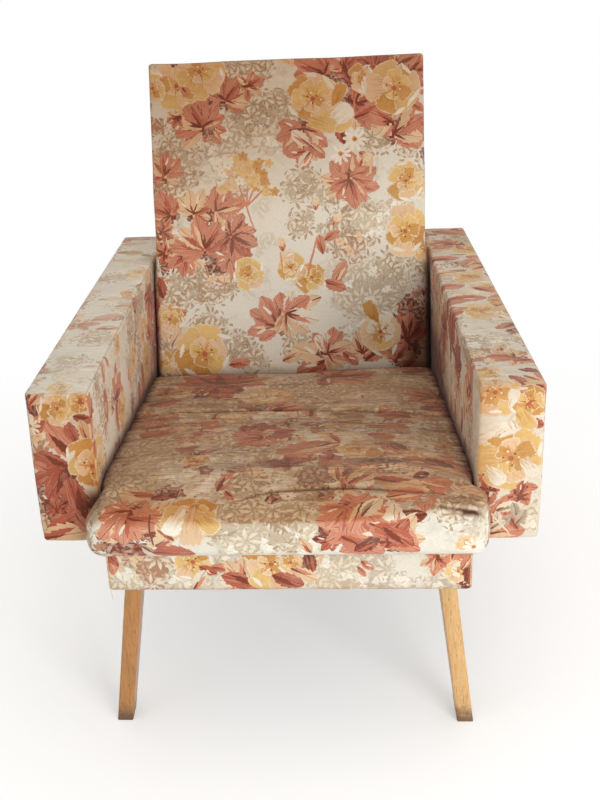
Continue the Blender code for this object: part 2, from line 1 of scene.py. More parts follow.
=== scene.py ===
"""A sagging old armchair in worn floral cotton: its covers, printed pattern, wooden legs and plain studio.

Metres, +Z up. The chair faces -Y. Each cover's cloth map is in metres too, and the printed pattern is drawn in it.
"""

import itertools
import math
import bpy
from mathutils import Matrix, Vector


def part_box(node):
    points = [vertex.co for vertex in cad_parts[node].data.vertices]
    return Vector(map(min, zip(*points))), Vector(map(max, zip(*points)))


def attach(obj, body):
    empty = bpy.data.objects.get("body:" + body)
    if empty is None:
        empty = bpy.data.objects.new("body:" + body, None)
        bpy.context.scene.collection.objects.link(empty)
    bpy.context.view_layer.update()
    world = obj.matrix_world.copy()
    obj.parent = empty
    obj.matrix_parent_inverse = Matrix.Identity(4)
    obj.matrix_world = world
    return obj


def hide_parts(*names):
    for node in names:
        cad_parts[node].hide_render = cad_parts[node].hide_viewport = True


bl_info = {
    "name": "Sagging Old Armchair",
    "version": (1, 0, 0),
    "blender": (4, 5, 0),
    "location": "3D View > Sidebar > Armchair",
    "description": "Builds the worn floral covers, the legs and the studio round the armchair's frame",
    "category": "Object",
}

import bmesh
import bpy
import numpy as np
from mathutils import Matrix, Vector

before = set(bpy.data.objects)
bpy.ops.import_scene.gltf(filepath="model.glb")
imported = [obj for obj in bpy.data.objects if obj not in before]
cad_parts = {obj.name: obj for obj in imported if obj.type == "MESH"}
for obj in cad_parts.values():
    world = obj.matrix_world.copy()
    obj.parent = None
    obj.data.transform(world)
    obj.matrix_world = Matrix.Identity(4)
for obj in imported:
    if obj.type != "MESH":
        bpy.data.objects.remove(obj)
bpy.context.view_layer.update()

BAND_LOW, BAND_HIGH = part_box("base_band")
SEAT_LOW, SEAT_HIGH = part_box("seat_cover")
FRONT_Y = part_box("arm_cover_right")[0].y
SIDES = (("left", -1), ("right", 1))


def srgb(red, green, blue):
    """A colour given in 0-255 display values, as linear light."""
    shares = (red / 255, green / 255, blue / 255)
    return tuple(s / 12.92 if s <= 0.04045 else ((s + 0.055) / 1.055) ** 2.4 for s in shares)


def number(name, description, default, **kind):
    return bpy.props.FloatProperty(name=name, description=description, default=default, **kind)


def length(name, description, default):
    return number(name, description, default, min=0.0, unit="LENGTH")


def share(name, description, default):
    return number(name, description, default, min=0.0, max=1.0, subtype="FACTOR")


def ink(name, description, *default):
    """A colour that the user may change, from display values."""
    return bpy.props.FloatVectorProperty(name=name, description=description, default=srgb(*default), min=0.0, max=1.0,
                                         size=3, subtype="COLOR")


class ARMCHAIR_PG_cloth(bpy.types.PropertyGroup):
    """Inks and weave of the floral cotton"""

    ground: ink("Ground", "Unprinted cotton", 232, 226, 210)
    salmon: ink("Salmon", "Lit leaves", 214, 142, 112)
    rust: ink("Rust", "Shaded leaves", 188, 102, 78)
    maroon: ink("Maroon", "Deep shade between leaves", 132, 66, 48)
    peach: ink("Peach", "Pale leaves and small flowers", 234, 200, 160)
    gold: ink("Gold", "Petals", 230, 194, 128)
    ochre: ink("Ochre", "Shaded petals", 212, 160, 90)
    white: ink("White", "Lit petals", 242, 235, 219)
    cream: ink("Cream", "Strokes of light on leaves", 240, 229, 206)
    pale: ink("Pale", "Light background foliage", 200, 184, 158)
    taupe: ink("Taupe", "Background foliage", 178, 152, 122)
    tan: ink("Tan", "Brown background foliage", 182, 138, 106)
    grey: ink("Grey", "Cool background foliage", 192, 180, 162)
    thread_pitch: length("Thread pitch", "Distance between threads of the weave", 0.0008)
    thread_relief: length("Thread relief", "Height of the weave", 0.00012)


class ARMCHAIR_PG_back(bpy.types.PropertyGroup):
    """Sizes of the back's cover"""

    width: length("Width", "Width of the padded back", 0.505)
    height: length("Height", "Height along the leaning back", 0.591)
    thickness: length("Thickness", "Thickness of the padded back", 0.080)
    foot_y: number("Foot", "Where the front panel's foot stands along Y", 0.154, unit="LENGTH")
    foot_z: length("Foot height", "Height of the front panel's foot", 0.338)
    lean: number("Lean", "How far the back leans from upright", math.radians(14.25), unit="ROTATION")
    edge_radius: length("Edge radius", "Roundness of the panel's edges", 0.0065)
    crown: length("Crown", "How far the padding swells before the board", 0.0035)
    cell: length("Cell", "Spacing of the mesh", 0.0046)


class ARMCHAIR_PG_arms(bpy.types.PropertyGroup):
    """Sizes of the arms' covers"""

    edge_radius: length("Edge radius", "Roundness of the arm's edges", 0.0052)
    crown: length("Crown", "Swell of the wadding under the cover", 0.0015)
    wrinkle: length("Wrinkles", "Height of the slack cotton on the arm's top", 0.0009)
    cell: length("Cell", "Spacing of the mesh", 0.0046)


class ARMCHAIR_PG_seat(bpy.types.PropertyGroup):
    """Sizes of the seat's loose cover"""

    body_width: length("Width", "Width between the arms", 0.5226)
    nose_width: length("Nose width", "Width of the front that bulges before the arms", 0.560)
    front_height: length("Front height", "Height of the raked top where the arms begin", 0.408)
    slope: share("Slope", "Fall of the top towards the back", 0.112)
    thickness: length("Thickness", "Thickness where the arms begin", 0.098)
    well_width: length("Well width", "Width that drops between the side rails", 0.4704)
    swell: length("Swell", "Farthest that the pressed cotton may stand out", 0.010)
    pressure: number("Pressure", "Push of the filling on the cotton", 4.0, min=0.0)
    slack: share("Slack", "Spare cotton from front to back, which makes the wrinkles", 0.035)
    cell: length("Cell", "Spacing of the mesh", 0.0044)


class ARMCHAIR_PG_base(bpy.types.PropertyGroup):
    """Sizes of the band round the base, the dust cloth and its staples"""

    turn_in: length("Turn-in", "Cloth turned in under the rails", 0.015)
    cloth: length("Cloth", "Thickness of the cotton", 0.0012)
    corner_radius: length("Corner radius", "Roundness of the upright corners", 0.009)
    sag: length("Sag", "How far the dust cloth hangs down in the middle", 0.007)
    staple_pitch: length("Staple pitch", "Distance between staples", 0.042)
    cell: length("Cell", "Spacing of the mesh", 0.0048)


class ARMCHAIR_PG_wood(bpy.types.PropertyGroup):
    """Colours of the varnished legs"""

    honey: ink("Honey", "Darker legs", 186, 128, 64)
    # A lighter copy of the same wood, as painted light on the lit front right leg
    light: ink("Light", "Lighter legs", 222, 178, 118)
    dirt: ink("Dirt", "Grime at the feet", 88, 62, 44)
    edge: length("Edge", "Roundness of the legs' edges", 0.0022)


class ARMCHAIR_PG_studio(bpy.types.PropertyGroup):
    """The floor, the lamps and the camera"""

    floor_radius: length("Floor radius", "Reach of the pale floor", 14.0)
    focal: number("Focal length", "Camera's focal length", 44.82, subtype="DISTANCE_CAMERA")
    fill: number("Fill", "Strength of the even light all round", 0.61)
    key: number("Key", "Power of the large front lamp", 37.5, unit="POWER")


def settings(group):
    return getattr(bpy.context.scene, "armchair_" + group)


def smoothstep(low, high, value):
    t = np.clip((value - low) / (high - low), 0.0, 1.0)
    return t * t * (3 - 2 * t)


def bell(value, width):
    return np.exp(-(value / width) ** 2)


# The layouts of the printed pattern

# A motif and its ink, then for each one its place on the cloth map and its size in millimetres and its turn in
# degrees
BACK_PRINT = """
    foliage taupe: -65 484 102 20; foliage pale: -118 442 97 60, -37 449 59 -30; foliage taupe: -68 575 88 10,
    -9 502 74 -50, -204 410 109 95, 168 447 77 20, 26 360 74 30, 76 340 59 -20, 119 280 120 35;
    foliage pale: 143 289 70 -30; foliage taupe: 24 292 56 60, -157 192 129 10, -217 158 67 70;
    foliage pale: 152 166 145 15; foliage tan: -128 203 83 15, -228 363 75 80, -241 319 49 90, 116 245 63 20;
    foliage taupe: 190 213 59 60; foliage pale: 109 65 67 -15; foliage taupe: -157 97 76 0, -108 58 72 20,
    -77 40 61 -20, 222 432 55 80, -104 363 60 45, 15 61 66 30; foliage pale: 199 318 51 0;
    shade maroon: 222 108 82 95, 217 47 63 60, 165 52 49 0, -142 525 56 10, -99 513 33 0, -158 316 68 0,
    -230 224 46 60, -135 218 53 20, 224 579 43 0, 122 555 44 -60, 125 529 84 -20, 216 555 72 20;
    shade rust: 93 574 73 0, 155 575 80 10; shade maroon: -148 514 63 0; shade rust: 146 478 55 0;
    shade maroon: 71 35 68 10, -92 277 56 0, -29 125 57 0; spray salmon: -227 396 68 80, -104 531 81 60,
    -61 547 55 20, -138 463 56 -60, -164 486 101 120, -208 489 37 200, -232 318 79 150, -173 324 75 60,
    -121 322 83 20, -101 221 75 -60, -203 231 72 -140, -162 264 109 100; spray rust: -92 266 86 -15, -232 283 38 30,
    -241 245 42 140; leaf rust: -245 176 42 100; spray salmon: 60 568 95 150, 112 580 65 80, 143 500 98 -20;
    spray rust: 166 567 76 110, 231 565 61 60; leaf salmon: 226 504 62 80; spray salmon: 229 454 76 -80,
    30 446 107 -95; leaf rust: 117 560 44 -60, 175 572 40 70, 224 583 40 30, 241 543 36 100;
    leaf salmon: 154 489 62 20; spray salmon: 204 462 98 60, 183 477 62 150; leaf salmon: 241 496 33 -30;
    leaf peach: 26 446 44 140; leaf salmon: 16 419 37 190; leaf peach: 33 408 37 230; leaf salmon: 55 422 41 -40;
    leaf rust: 100 449 37 110; spray salmon: 115 374 114 95, 115 356 85 -85; leaf salmon: 59 250 37 100,
    80 266 33 30, 93 197 48 60, 83 173 45 -20, 36 144 45 200; spray salmon: -33 112 102 120;
    spray peach: 5 120 94 -10; leaf salmon: -220 80 38 60, -100 29 42 10; spray salmon: 56 39 113 160,
    131 53 67 100; spray peach: 79 50 83 20; leaf salmon: 110 34 38 -40; leaf rust: 157 41 49 30;
    spray rust: 210 82 82 110; spray salmon: 202 40 63 60; florets peach: -78 377 108 90;
    bloom gold: -202 549 86 10; petal peach: -217 564 56 110; bloom gold: -157 573 93 20, -245 547 63 -40;
    bud gold: -180 532 37 -50; bloom gold: 50 516 99 10; petal gold: 80 475 84 10; petal white: 95 482 62 35;
    petal gold: 66 472 55 -20; petal ochre: 96 522 47 60; bloom gold: 142 550 51 0; petal white: 147 539 33 -80;
    bloom gold: 198 530 94 0, 217 362 77 -20, 215 270 88 30, -78 196 64 0, 2 209 52 40, 41 189 60 -20,
    -231 116 57 10, -166 48 107 15, -249 34 46 0; bloom peach: 166 83 90 -10; petal ochre: 151 121 48 120;
    leaf peach: 1 39 42 20; daisy white: 125 441 44 0, 99 415 40 20; bud peach: 143 411 26 -30, -14 252 28 100,
    51 325 24 90, 88 294 26 60; stem salmon: 43 230 71 75, -15 219 37 95
"""
SEAT_TOP_PRINT = """
    foliage taupe: -234 16 112 20; foliage pale: -182 51 95 10, -88 63 69 10; foliage taupe: 85 339 97 10,
    -55 104 117 0, 16 381 137 5, -153 310 134 0, 189 371 111 0, -63 -74 103 15, 21 -82 95 0, 226 -62 77 10;
    foliage pale: 190 131 70 5; foliage taupe: -225 130 121 10; foliage pale: 135 321 109 0;
    foliage taupe: -191 480 74 0, 254 153 78 0; shade rust: -213 244 73 10; shade maroon: 134 41 55 0, 49 8 68 10,
    87 17 47 0; shade rust: 21 59 56 10; spray rust: -128 452 167 100; spray maroon: -131 389 100 -90;
    spray rust: 95 469 148 10; leaf rust: 119 414 44 -60; spray rust: 231 342 94 170; leaf maroon: 238 286 52 200;
    leaf rust: 224 479 51 20; foliage ochre: -41 351 90 10, -192 376 55 0; leaf rust: -215 339 67 10;
    leaf maroon: -209 180 56 -15; bud rust: -141 204 23 0; leaf rust: -124 199 35 -10; spray rust: -38 165 118 20;
    spray salmon: -50 148 83 190; leaf maroon: -152 103 33 160, -142 111 27 30, -116 94 30 20;
    bloom ochre: -129 57 47 20; leaf maroon: -140 35 17 60; spray rust: -2 45 59 150; bloom pale: 40 311 57 0;
    leaf rust: 34 266 41 95, 0 292 53 10; leaf maroon: 36 210 40 -10; bloom pale: 109 268 75 30;
    petal ochre: 99 212 41 10; leaf salmon: 166 241 64 165, 156 187 69 -10; daisy white: 24 162 31 0;
    leaf salmon: 32 97 103 205, 65 144 58 120, 63 50 60 250; leaf maroon: 142 141 45 -20, 165 96 46 -60;
    bloom gold: 105 87 73 20; bloom ochre: 231 113 29 0; daisy white: 205 106 26 0; foliage ochre: 191 65 55 15;
    leaf salmon: 227 38 83 -30; leaf maroon: 213 45 53 -20; leaf peach: 191 46 56 160; leaf salmon: -203 -26 56 170;
    leaf maroon: -194 -26 28 0; leaf salmon: -171 -71 60 60; bloom ochre: -161 -69 24 0;
    leaf maroon: -167 -30 35 20; petal white: -120 -14 28 10, -134 -41 27 60, -134 -78 24 80;
    leaf rust: -84 -2 39 60, -76 -29 25 -60; leaf salmon: 71 14 39 100, 107 6 52 40, 155 -9 68 -15;
    leaf maroon: 188 4 24 20; leaf salmon: 227 17 61 -20, 156 -35 56 15; leaf maroon: 157 -79 45 10
"""
SEAT_NOSE_PRINT = """
    foliage pale: -48 -110 82 0, 19 -107 63 80; foliage taupe: -265 -112 48 60, 0 -105 41 100, -78 -84 38 60;
    foliage pale: 263 -124 40 60; foliage grey: 238 -89 26 80; foliage maroon: -229 -119 42 20;
    shade maroon: -174 -94 41 100, -207 -124 56 0; spray salmon: -207 -78 86 110, -207 -78 88 -100;
    leaf salmon: -184 -80 47 -10, -160 -112 50 40, -155 -96 36 130; leaf maroon: -185 -128 28 150;
    leaf cream: -170 -131 42 -40; leaf maroon: -146 -131 56 -5; stem maroon: -174 -93 47 100;
    bloom gold: -123 -71 71 0; petal peach: -121 -87 63 -90; petal white: -141 -80 47 -110;
    petal gold: -103 -82 46 -40; spray maroon: 54 -109 41 180; leaf salmon: 27 -121 27 120;
    spray salmon: 91 -73 102 100, 91 -76 88 -60; leaf salmon: 91 -76 48 250; leaf cream: 110 -61 43 50;
    spray peach: 138 -103 83 90; leaf salmon: 138 -105 73 -30; leaf rust: 138 -105 59 150, 141 -102 51 55,
    143 -107 46 -35; leaf salmon: 99 -122 62 195; leaf rust: 101 -122 57 -20; leaf salmon: 99 -122 65 -30;
    leaf maroon: 104 -119 38 30; bloom gold: 229 -117 29 20; daisy white: 239 -123 29 0
"""
BAND_PRINT = """
    foliage tan: -213 39 96 10; foliage pale: -243 17 59 0; foliage grey: 89 32 127 0; foliage pale: 74 24 85 10;
    foliage grey: 160 11 34 0; foliage pale: -99 52 37 0; foliage grey: 222 14 56 0; foliage pale: -137 17 58 20;
    leaf salmon: -255 48 44 -80; leaf maroon: -249 51 23 -60; bloom gold: -135 47 66 0; leaf salmon: -95 37 32 0;
    leaf maroon: -114 33 29 -30; leaf peach: -127 17 38 60; spray peach: -63 23 78 90; leaf rust: -72 16 49 160;
    leaf salmon: -43 19 32 200; bloom gold: -23 43 83 10, 5 46 43 0; leaf salmon: 35 49 51 50;
    leaf maroon: 32 46 37 100; leaf peach: 23 26 43 -30; leaf rust: 0 16 49 -20; leaf salmon: 113 40 23 -40,
    105 30 20 -60; spray salmon: 209 45 45 -90; bloom peach: 240 29 39 0; leaf maroon: 257 31 42 80;
    leaf salmon: 251 44 28 60
"""
LEFT_ARM_TOP_PRINT = """
    foliage taupe: -22 496 64 20, 15 192 63 10, -4 107 51 0; leaf peach: -12 723 54 10; leaf ochre: -11 659 57 -10;
    leaf salmon: -16 606 43 -10; leaf rust: 26 636 28 -30; bloom ochre: 30 408 39 40; leaf ochre: 34 346 34 20;
    leaf salmon: 3 379 42 10; leaf peach: 15 289 57 30; spray salmon: -17 259 56 10; leaf rust: 26 239 39 15;
    leaf maroon: 34 283 30 60; leaf peach: 34 86 29 10; petal white: 16 55 52 20, 5 28 43 40;
    leaf pale: -21 71 35 20; leaf salmon: -31 43 20 50; bloom gold: 3 15 37 0
"""
LEFT_ARM_FRONT_PRINT = """
    foliage tan: -27 -74 48 80, -34 -201 38 0; shade maroon: -15 -178 58 0, -39 -145 34 90, 13 -133 34 60;
    leaf salmon: -25 -41 47 60; leaf maroon: -34 -18 36 -80; leaf salmon: -27 -8 30 40; daisy cream: -40 -50 28 0;
    leaf rust: 34 -40 30 -20; leaf peach: 33 -57 33 100; leaf rust: 0 -73 67 120; leaf maroon: 16 -60 36 110;
    leaf rust: -16 -107 59 150; leaf maroon: -21 -126 57 200; leaf peach: -35 -112 26 150;
    leaf rust: -14 -141 57 240; leaf maroon: 0 -131 34 80; leaf rust: 10 -167 74 100, -11 -203 64 35;
    leaf salmon: -13 -222 73 10; leaf peach: 15 -203 35 -60; spray maroon: -19 -175 37 90; bloom gold: 0 -23 53 -40;
    bloom ochre: 31 -15 38 0; bloom gold: 39 -113 79 180
"""
LEFT_ARM_INNER_PRINT = """
    foliage taupe: 62 56 50 0, 90 325 60 0, 100 73 46 0; spray rust: 101 516 93 0; spray salmon: 144 493 66 -180;
    bloom gold: 61 212 47 0, 133 323 60 0; leaf salmon: 56 103 42 0, 201 393 69 0; bloom gold: 166 201 62 0;
    leaf salmon: 215 352 62 0; leaf maroon: 110 98 52 0; leaf salmon: 134 7 32 0, 181 62 26 -10;
    leaf gold: 169 10 30 0
"""
RIGHT_ARM_TOP_PRINT = """
    foliage taupe: -19 750 39 10; foliage grey: 4 158 51 10, -32 129 37 0; foliage maroon: -4 531 46 0;
    leaf salmon: 13 739 78 -20; leaf rust: 34 759 47 -20; spray salmon: -5 654 83 180; leaf cream: 12 586 44 0;
    leaf rust: -25 564 65 10; leaf salmon: 18 535 53 60; leaf maroon: -9 484 41 10; leaf peach: -28 474 55 0;
    leaf salmon: -33 403 53 0; bloom gold: 9 454 64 0; petal white: -8 370 45 5; leaf rust: 22 383 42 -30;
    leaf salmon: -12 340 64 0; bloom gold: 1 277 65 0; bloom ochre: 32 327 35 0; daisy cream: 28 266 24 0;
    leaf salmon: -37 289 40 20, 3 123 36 60; leaf rust: 2 115 19 60; spray salmon: 9 89 60 170;
    leaf rust: 32 77 32 10; bloom gold: -25 35 40 0; petal white: -9 31 26 -50; leaf maroon: 28 43 29 -10,
    8 14 31 -50; leaf salmon: 29 13 34 -40
"""
RIGHT_ARM_FRONT_PRINT = """
    leaf salmon: 26 -3 52 20; leaf rust: 38 -6 23 -40; leaf maroon: 8 0 28 -50; leaf salmon: 40 -23 39 90,
    -30 -132 46 90; foliage pale: 31 -198 41 60; leaf salmon: -25 -164 41 80, -4 -222 60 5, -10 -190 54 60,
    4 -198 46 120; leaf cream: -13 -202 27 100, -2 -184 30 20; leaf grey: -2 -206 25 60, 11 -190 27 110,
    19 -200 27 60; leaf cream: -13 -212 27 30; stem cream: -9 -209 41 -50; spray rust: -25 -152 30 100;
    spray salmon: 18 -159 46 -60; spray rust: 16 -162 35 80; bloom gold: -24 -11 70 20; bloom ochre: 21 -27 52 0;
    leaf rust: 29 -57 31 -10; petal gold: 16 -49 45 -60; petal white: 0 -20 29 80, -18 -67 34 30, 6 -67 40 -60,
    -33 -75 27 10; bloom gold: 1 -109 88 0; petal white: 25 -123 37 -50, -20 -133 40 -50
"""
RIGHT_ARM_INNER_PRINT = """
    spray rust: -72 275 95 0; spray maroon: -93 201 76 10; leaf salmon: -121 121 67 0; leaf rust: -88 98 43 -10;
    foliage taupe: -144 66 57 0; leaf rust: -42 330 65 0, -165 142 45 0
"""


# The printed pattern

# How many printed shapes each face keeps, and the attributes that hold each one
SLOTS = 7
SHAPE_PARTS = ("place", "size", "form", "tint", "style")
# How far the edges of a shape and of foliage may stray
EDGE_WANDER = 0.0022
LEAFY_EDGE = 0.006
TURN = math.tau
# Inks of a leaf and of its shaded half
LEAF_TONES = {"salmon": (("salmon", "salmon", "peach", "salmon"), "rust"),
              "rust": (("rust", "salmon", "salmon", "rust"), "maroon"),
              "peach": (("peach", "peach", "salmon", "cream"), "salmon"),
              "maroon": (("maroon", "rust"), "rust")}
# Inks of a flower's outer petals, inner petals and core
BLOOM_TONES = {"gold": (("gold", "gold", "peach", "ochre"), ("gold", "ochre", "peach"), "ochre"),
               "white": (("gold", "white", "peach", "gold"), ("gold", "peach", "gold"), "ochre"),
               "ochre": (("ochre", "gold", "ochre"), ("ochre", "gold"), "rust"),
               "peach": (("peach", "gold", "peach"), ("peach", "ochre", "cream"), "ochre"),
               "pale": (("pale", "cream", "pale", "taupe"), ("pale", "cream", "pale"), "taupe")}
# Inks of the light leaves and the ribs in a patch of background foliage
FOLIAGE_TONES = {"pale": ("white", "grey"), "grey": ("white", "taupe"), "taupe": ("pale", "tan"),
                 "tan": ("peach", "rust"), "maroon": ("tan", "rust")}
SCATTER_LAYERS = (("foliage", "foliage", "shade"), ("spray", "bloom", "spray", "leaf", "daisy", "foliage"))
# Size and inks of each scattered motif
SCATTER_MOTIFS = {"foliage": (0.07, ("taupe", "pale", "grey", "tan")), "shade": (0.04, ("maroon", "tan")),
                  "spray": (0.085, ("salmon", "rust", "salmon")), "bloom": (0.075, ("gold", "white", "gold", "peach")),
                  "leaf": (0.045, ("salmon", "rust", "peach")), "daisy": (0.024, ("white", "cream"))}


def beyond(s, t, turn, along, across=0.0):
    """The point that lies along and across from (s, t) when facing turn."""
    c, n = math.cos(turn), math.sin(turn)
    return s + along * c - across * n, t + along * n + across * c


class Design:
    """The printed shapes on one piece of cotton, in the order in which they were printed.

    Each shape stands on a point of the cloth map, points along a turn and has a length, a half width and an outline
    that is x^rise * (1 - x)^fall along its length.
    """

    def __init__(self, seed):
        self.shapes = []
        self.random = np.random.default_rng(seed)

    def tint(self, ink):
        return np.clip(np.array(getattr(settings("cloth"), ink)) * (1 + self.random.uniform(-0.06, 0.06)), 0, 1)

    def shape(self, s, t, turn, long, half, ink, outline=(0.6, 0.8), teeth=0.0, vein=0.0, streak=0.0, leafy=0.0):
        rise, fall = outline
        peak = rise / (rise + fall)
        widest = peak ** rise * (1 - peak) ** fall
        tint = self.tint(ink)
        self.shapes.append((s, t, turn, long, half / widest, self.random.uniform(0, 9), rise, fall, teeth,
                            *tint, vein, streak, leafy))

    def pick(self, inks):
        return inks[self.random.integers(len(inks))]

    def within(self, s, t, size, turn, wide):
        """A random point near the middle of a motif."""
        along, across = self.random.uniform(-0.4, 0.4), self.random.uniform(-wide, wide)
        return beyond(s, t, turn, size * along, size * across)

    def blade(self, s, t, reach, turn, ink):
        """One pointed leaf from its stalk: the leaf, its shaded half, its rib and sometimes a stroke of light."""
        tones, shaded = LEAF_TONES.get(ink, ((ink,), "taupe"))
        if ink == "salmon" and self.random.random() < 0.35:
            shaded = "peach"
        tone = self.pick(tones)
        self.shape(s, t, turn, reach, 0.28 * reach, tone, (0.72, 0.68), 0.2, 1.0)
        side = self.random.choice((-1, 1))
        self.shape(s, t, turn + 0.15 * side, 0.8 * reach, 0.1 * reach, shaded, (0.6, 1.0), 0.35)
        self.shape(s, t, turn, 0.6 * reach, 0.026 * reach + 0.0003, "maroon", (0.3, 1.0))
        if self.random.random() < 0.22:
            tip = beyond(s, t, turn, 0.4 * reach)
            self.shape(*tip, turn - 0.3 * side, 0.36 * reach, 0.045 * reach, "cream", (0.6, 0.9))

    def leaf(self, s, t, size, turn, ink):
        self.blade(*beyond(s, t, turn, -0.5 * size), size, turn, ink)

    def spray(self, s, t, size, turn, ink):
        hub = beyond(s, t, turn, -0.16 * size)
        under = "salmon" if ink == "peach" else "rust"
        self.shape(*beyond(*hub, turn, -0.16 * size), turn, 0.7 * size, 0.26 * size, under, (0.5, 0.5), 0.5,
                   leafy=0.12)
        count = 5 if size < 0.06 else 7
        fan = np.linspace(-1, 1, count) * (1.8 + self.random.uniform(-0.2, 0.2))
        self.shape(hub[0] - 0.2 * size, hub[1], 0.0, 0.44 * size, 0.16 * size, "maroon", (0.5, 0.5), leafy=0.5)
        self.disc(*hub, 0.07 * size, "maroon")
        for turned in sorted(fan, key=lambda a: -abs(a)):
            reach = size * (0.64 - 0.17 * abs(turned) / 1.8) * self.random.uniform(0.88, 1.1)
            self.blade(*hub, reach, turn + turned + self.random.uniform(-0.12, 0.12), ink)
        for _ in range(3):
            angle = turn + self.random.uniform(-1.6, 1.6)
            self.shape(*hub, angle, 0.26 * size, 0.022 * size, "maroon", (0.4, 0.8))

    def petals(self, s, t, reach, count, turn, half, inks):
        for index in range(count):
            angle = turn + TURN * index / count + self.random.uniform(-0.2, 0.2)
            long = reach * self.random.uniform(0.78, 1.14)
            self.shape(s, t, angle, long, half * long, self.pick(inks), (1.0, 0.34), 0.1, streak=1.0)

    def bloom(self, s, t, size, turn, ink):
        outer, inner, core = BLOOM_TONES[ink]
        reach = size / 2
        self.petals(s, t, reach, 6, turn, 0.52, outer)
        for _ in range(4):
            angle = turn + self.random.uniform(0, TURN)
            at = beyond(s, t, angle, 0.84 * reach)
            lean = angle + TURN / 4 + self.random.uniform(-0.3, 0.3)
            self.shape(*at, lean, 0.55 * reach * self.random.choice((-1, 1)), 0.085 * reach, "white", (0.7, 0.9), 0.3)
        middle = beyond(s, t, 2 * turn + 1, 0.13 * reach)
        self.petals(*middle, 0.62 * reach, 5, turn + 0.5, 0.5, inner)
        for index in range(7):
            angle = turn + 0.9 * index + self.random.uniform(-0.2, 0.2)
            self.shape(s, t, angle, 0.5 * reach, 0.05 * reach, core, (0.4, 1.0), 0.3)
        if size > 0.026:
            for index in range(9):
                angle = TURN * index / 9 + self.random.uniform(-0.25, 0.25)
                out = reach * self.random.uniform(0.15, 0.3)
                self.disc(*beyond(s, t, angle, out), 0.034 * reach, ("white", "maroon", "ochre")[index % 3])
        self.disc(s, t, 0.09 * reach, "rust")

    def disc(self, s, t, radius, ink):
        self.shape(s - radius, t, 0.0, 2 * radius, radius, ink, (0.5, 0.5))

    def centred(self, s, t, size, turn, half, ink, *style, **marks):
        """A shape whose middle, not its start, stands on the point."""
        self.shape(*beyond(s, t, turn, -0.5 * size), turn, size, half, ink, *style, **marks)

    def petal(self, s, t, size, turn, ink):
        self.centred(s, t, size, turn, 0.3 * size, ink, (0.9, 0.35), 0.1, streak=1.0)

    def foliage(self, s, t, size, turn, ink):
        self.centred(s, t, size, turn, 0.4 * size, ink, (0.42, 0.42), leafy=1.0)
        light, rib = FOLIAGE_TONES.get(ink, ("cream", "tan"))
        for _ in range(int(1 + 34 * size)):
            at = self.within(s, t, size, turn, 0.28)
            lean = turn + self.random.uniform(0, TURN)
            for turned in (-1.25, 1.15, -0.62, 0.58, 0.0):
                long = self.random.uniform(0.009, 0.015)
                self.shape(*at, lean + turned, long, 0.24 * long, light, (0.75, 0.6), 0.1)
            self.shape(*at, lean, 0.008, 0.0005, rib, (0.2, 0.6))

    def shade(self, s, t, size, turn, ink):
        self.centred(s, t, size, turn, 0.32 * size, ink, (0.5, 0.5), leafy=0.55)
        for _ in range(int(2 + 60 * size)):
            at = self.within(s, t, size, turn, 0.25)
            lean = turn + self.random.uniform(-1.2, 1.2)
            self.shape(*at, lean, 0.016, 0.0028, self.pick(("rust", "tan", "maroon", "salmon")), (0.6, 0.9), 0.4)

    def daisy(self, s, t, size, turn, ink):
        for index in range(10):
            angle = turn + TURN * index / 10 + self.random.uniform(-0.1, 0.1)
            self.shape(s, t, angle, size / 2, 0.075 * size, ink, (0.9, 0.4))
        self.disc(s, t, 0.11 * size, "ochre")
        self.disc(s, t, 0.05 * size, "rust")

    def florets(self, s, t, size, turn, ink):
        foot = beyond(s, t, turn, -0.5 * size)
        self.shape(*foot, turn + 0.3, -0.4 * size, 0.014 * size, "salmon", (0.1, 0.2))
        for turned in (-0.8, -0.45, -0.1, 0.3, 0.65):
            self.shape(*foot, turn + turned, 0.6 * size, 0.016 * size, "salmon", (0.1, 0.3))
        for _ in range(60):
            a, b = self.random.uniform(-0.5, 0.5), self.random.uniform(-0.14, 0.4)
            b -= 0.5 * abs(a) - 0.06
            at = beyond(s, t, turn, size * b, size * a)
            pick = a + self.random.uniform(-0.35, 0.35)
            tone = "ochre" if pick < -0.22 else "white" if pick > 0.25 else "gold" if pick < 0.08 else "peach"
            lean = self.random.uniform(0, TURN)
            for petal in range(5):
                self.shape(*at, petal * TURN / 5 + lean, 0.09 * size, 0.030 * size, tone, (0.8, 0.7))
            self.disc(*at, 0.013 * size, "rust" if tone == "ochre" else "ochre")

    def bud(self, s, t, size, turn, ink):
        self.petal(s, t, size, turn, ink)
        self.petal(s, t, 0.7 * size, turn + 0.5, "ochre" if ink == "gold" else ink)
        foot = beyond(s, t, turn, -0.45 * size)
        for turned in (-0.5, 0.5):
            self.shape(*foot, turn + turned, 0.5 * size, 0.1 * size, "salmon", (0.5, 0.9))
        self.shape(*foot, turn + 0.05, 0.35 * size, 0.05 * size, "maroon", (0.5, 0.9))

    def stem(self, s, t, size, turn, ink):
        self.centred(s, t, size, turn, 0.02 * size + 0.0004, ink, (0.1, 0.2))

    def lay(self, layout):
        """Prints a layout: groups of a motif and its ink, with the places of each in whole millimetres and degrees."""
        for group in layout.split(";"):
            kind, places = group.split(":")
            motif, ink = kind.split()
            for place in places.split(","):
                s, t, size, turn = (int(number) for number in place.split())
                getattr(self, motif)(s / 1000, t / 1000, size / 1000, math.radians(turn), ink)

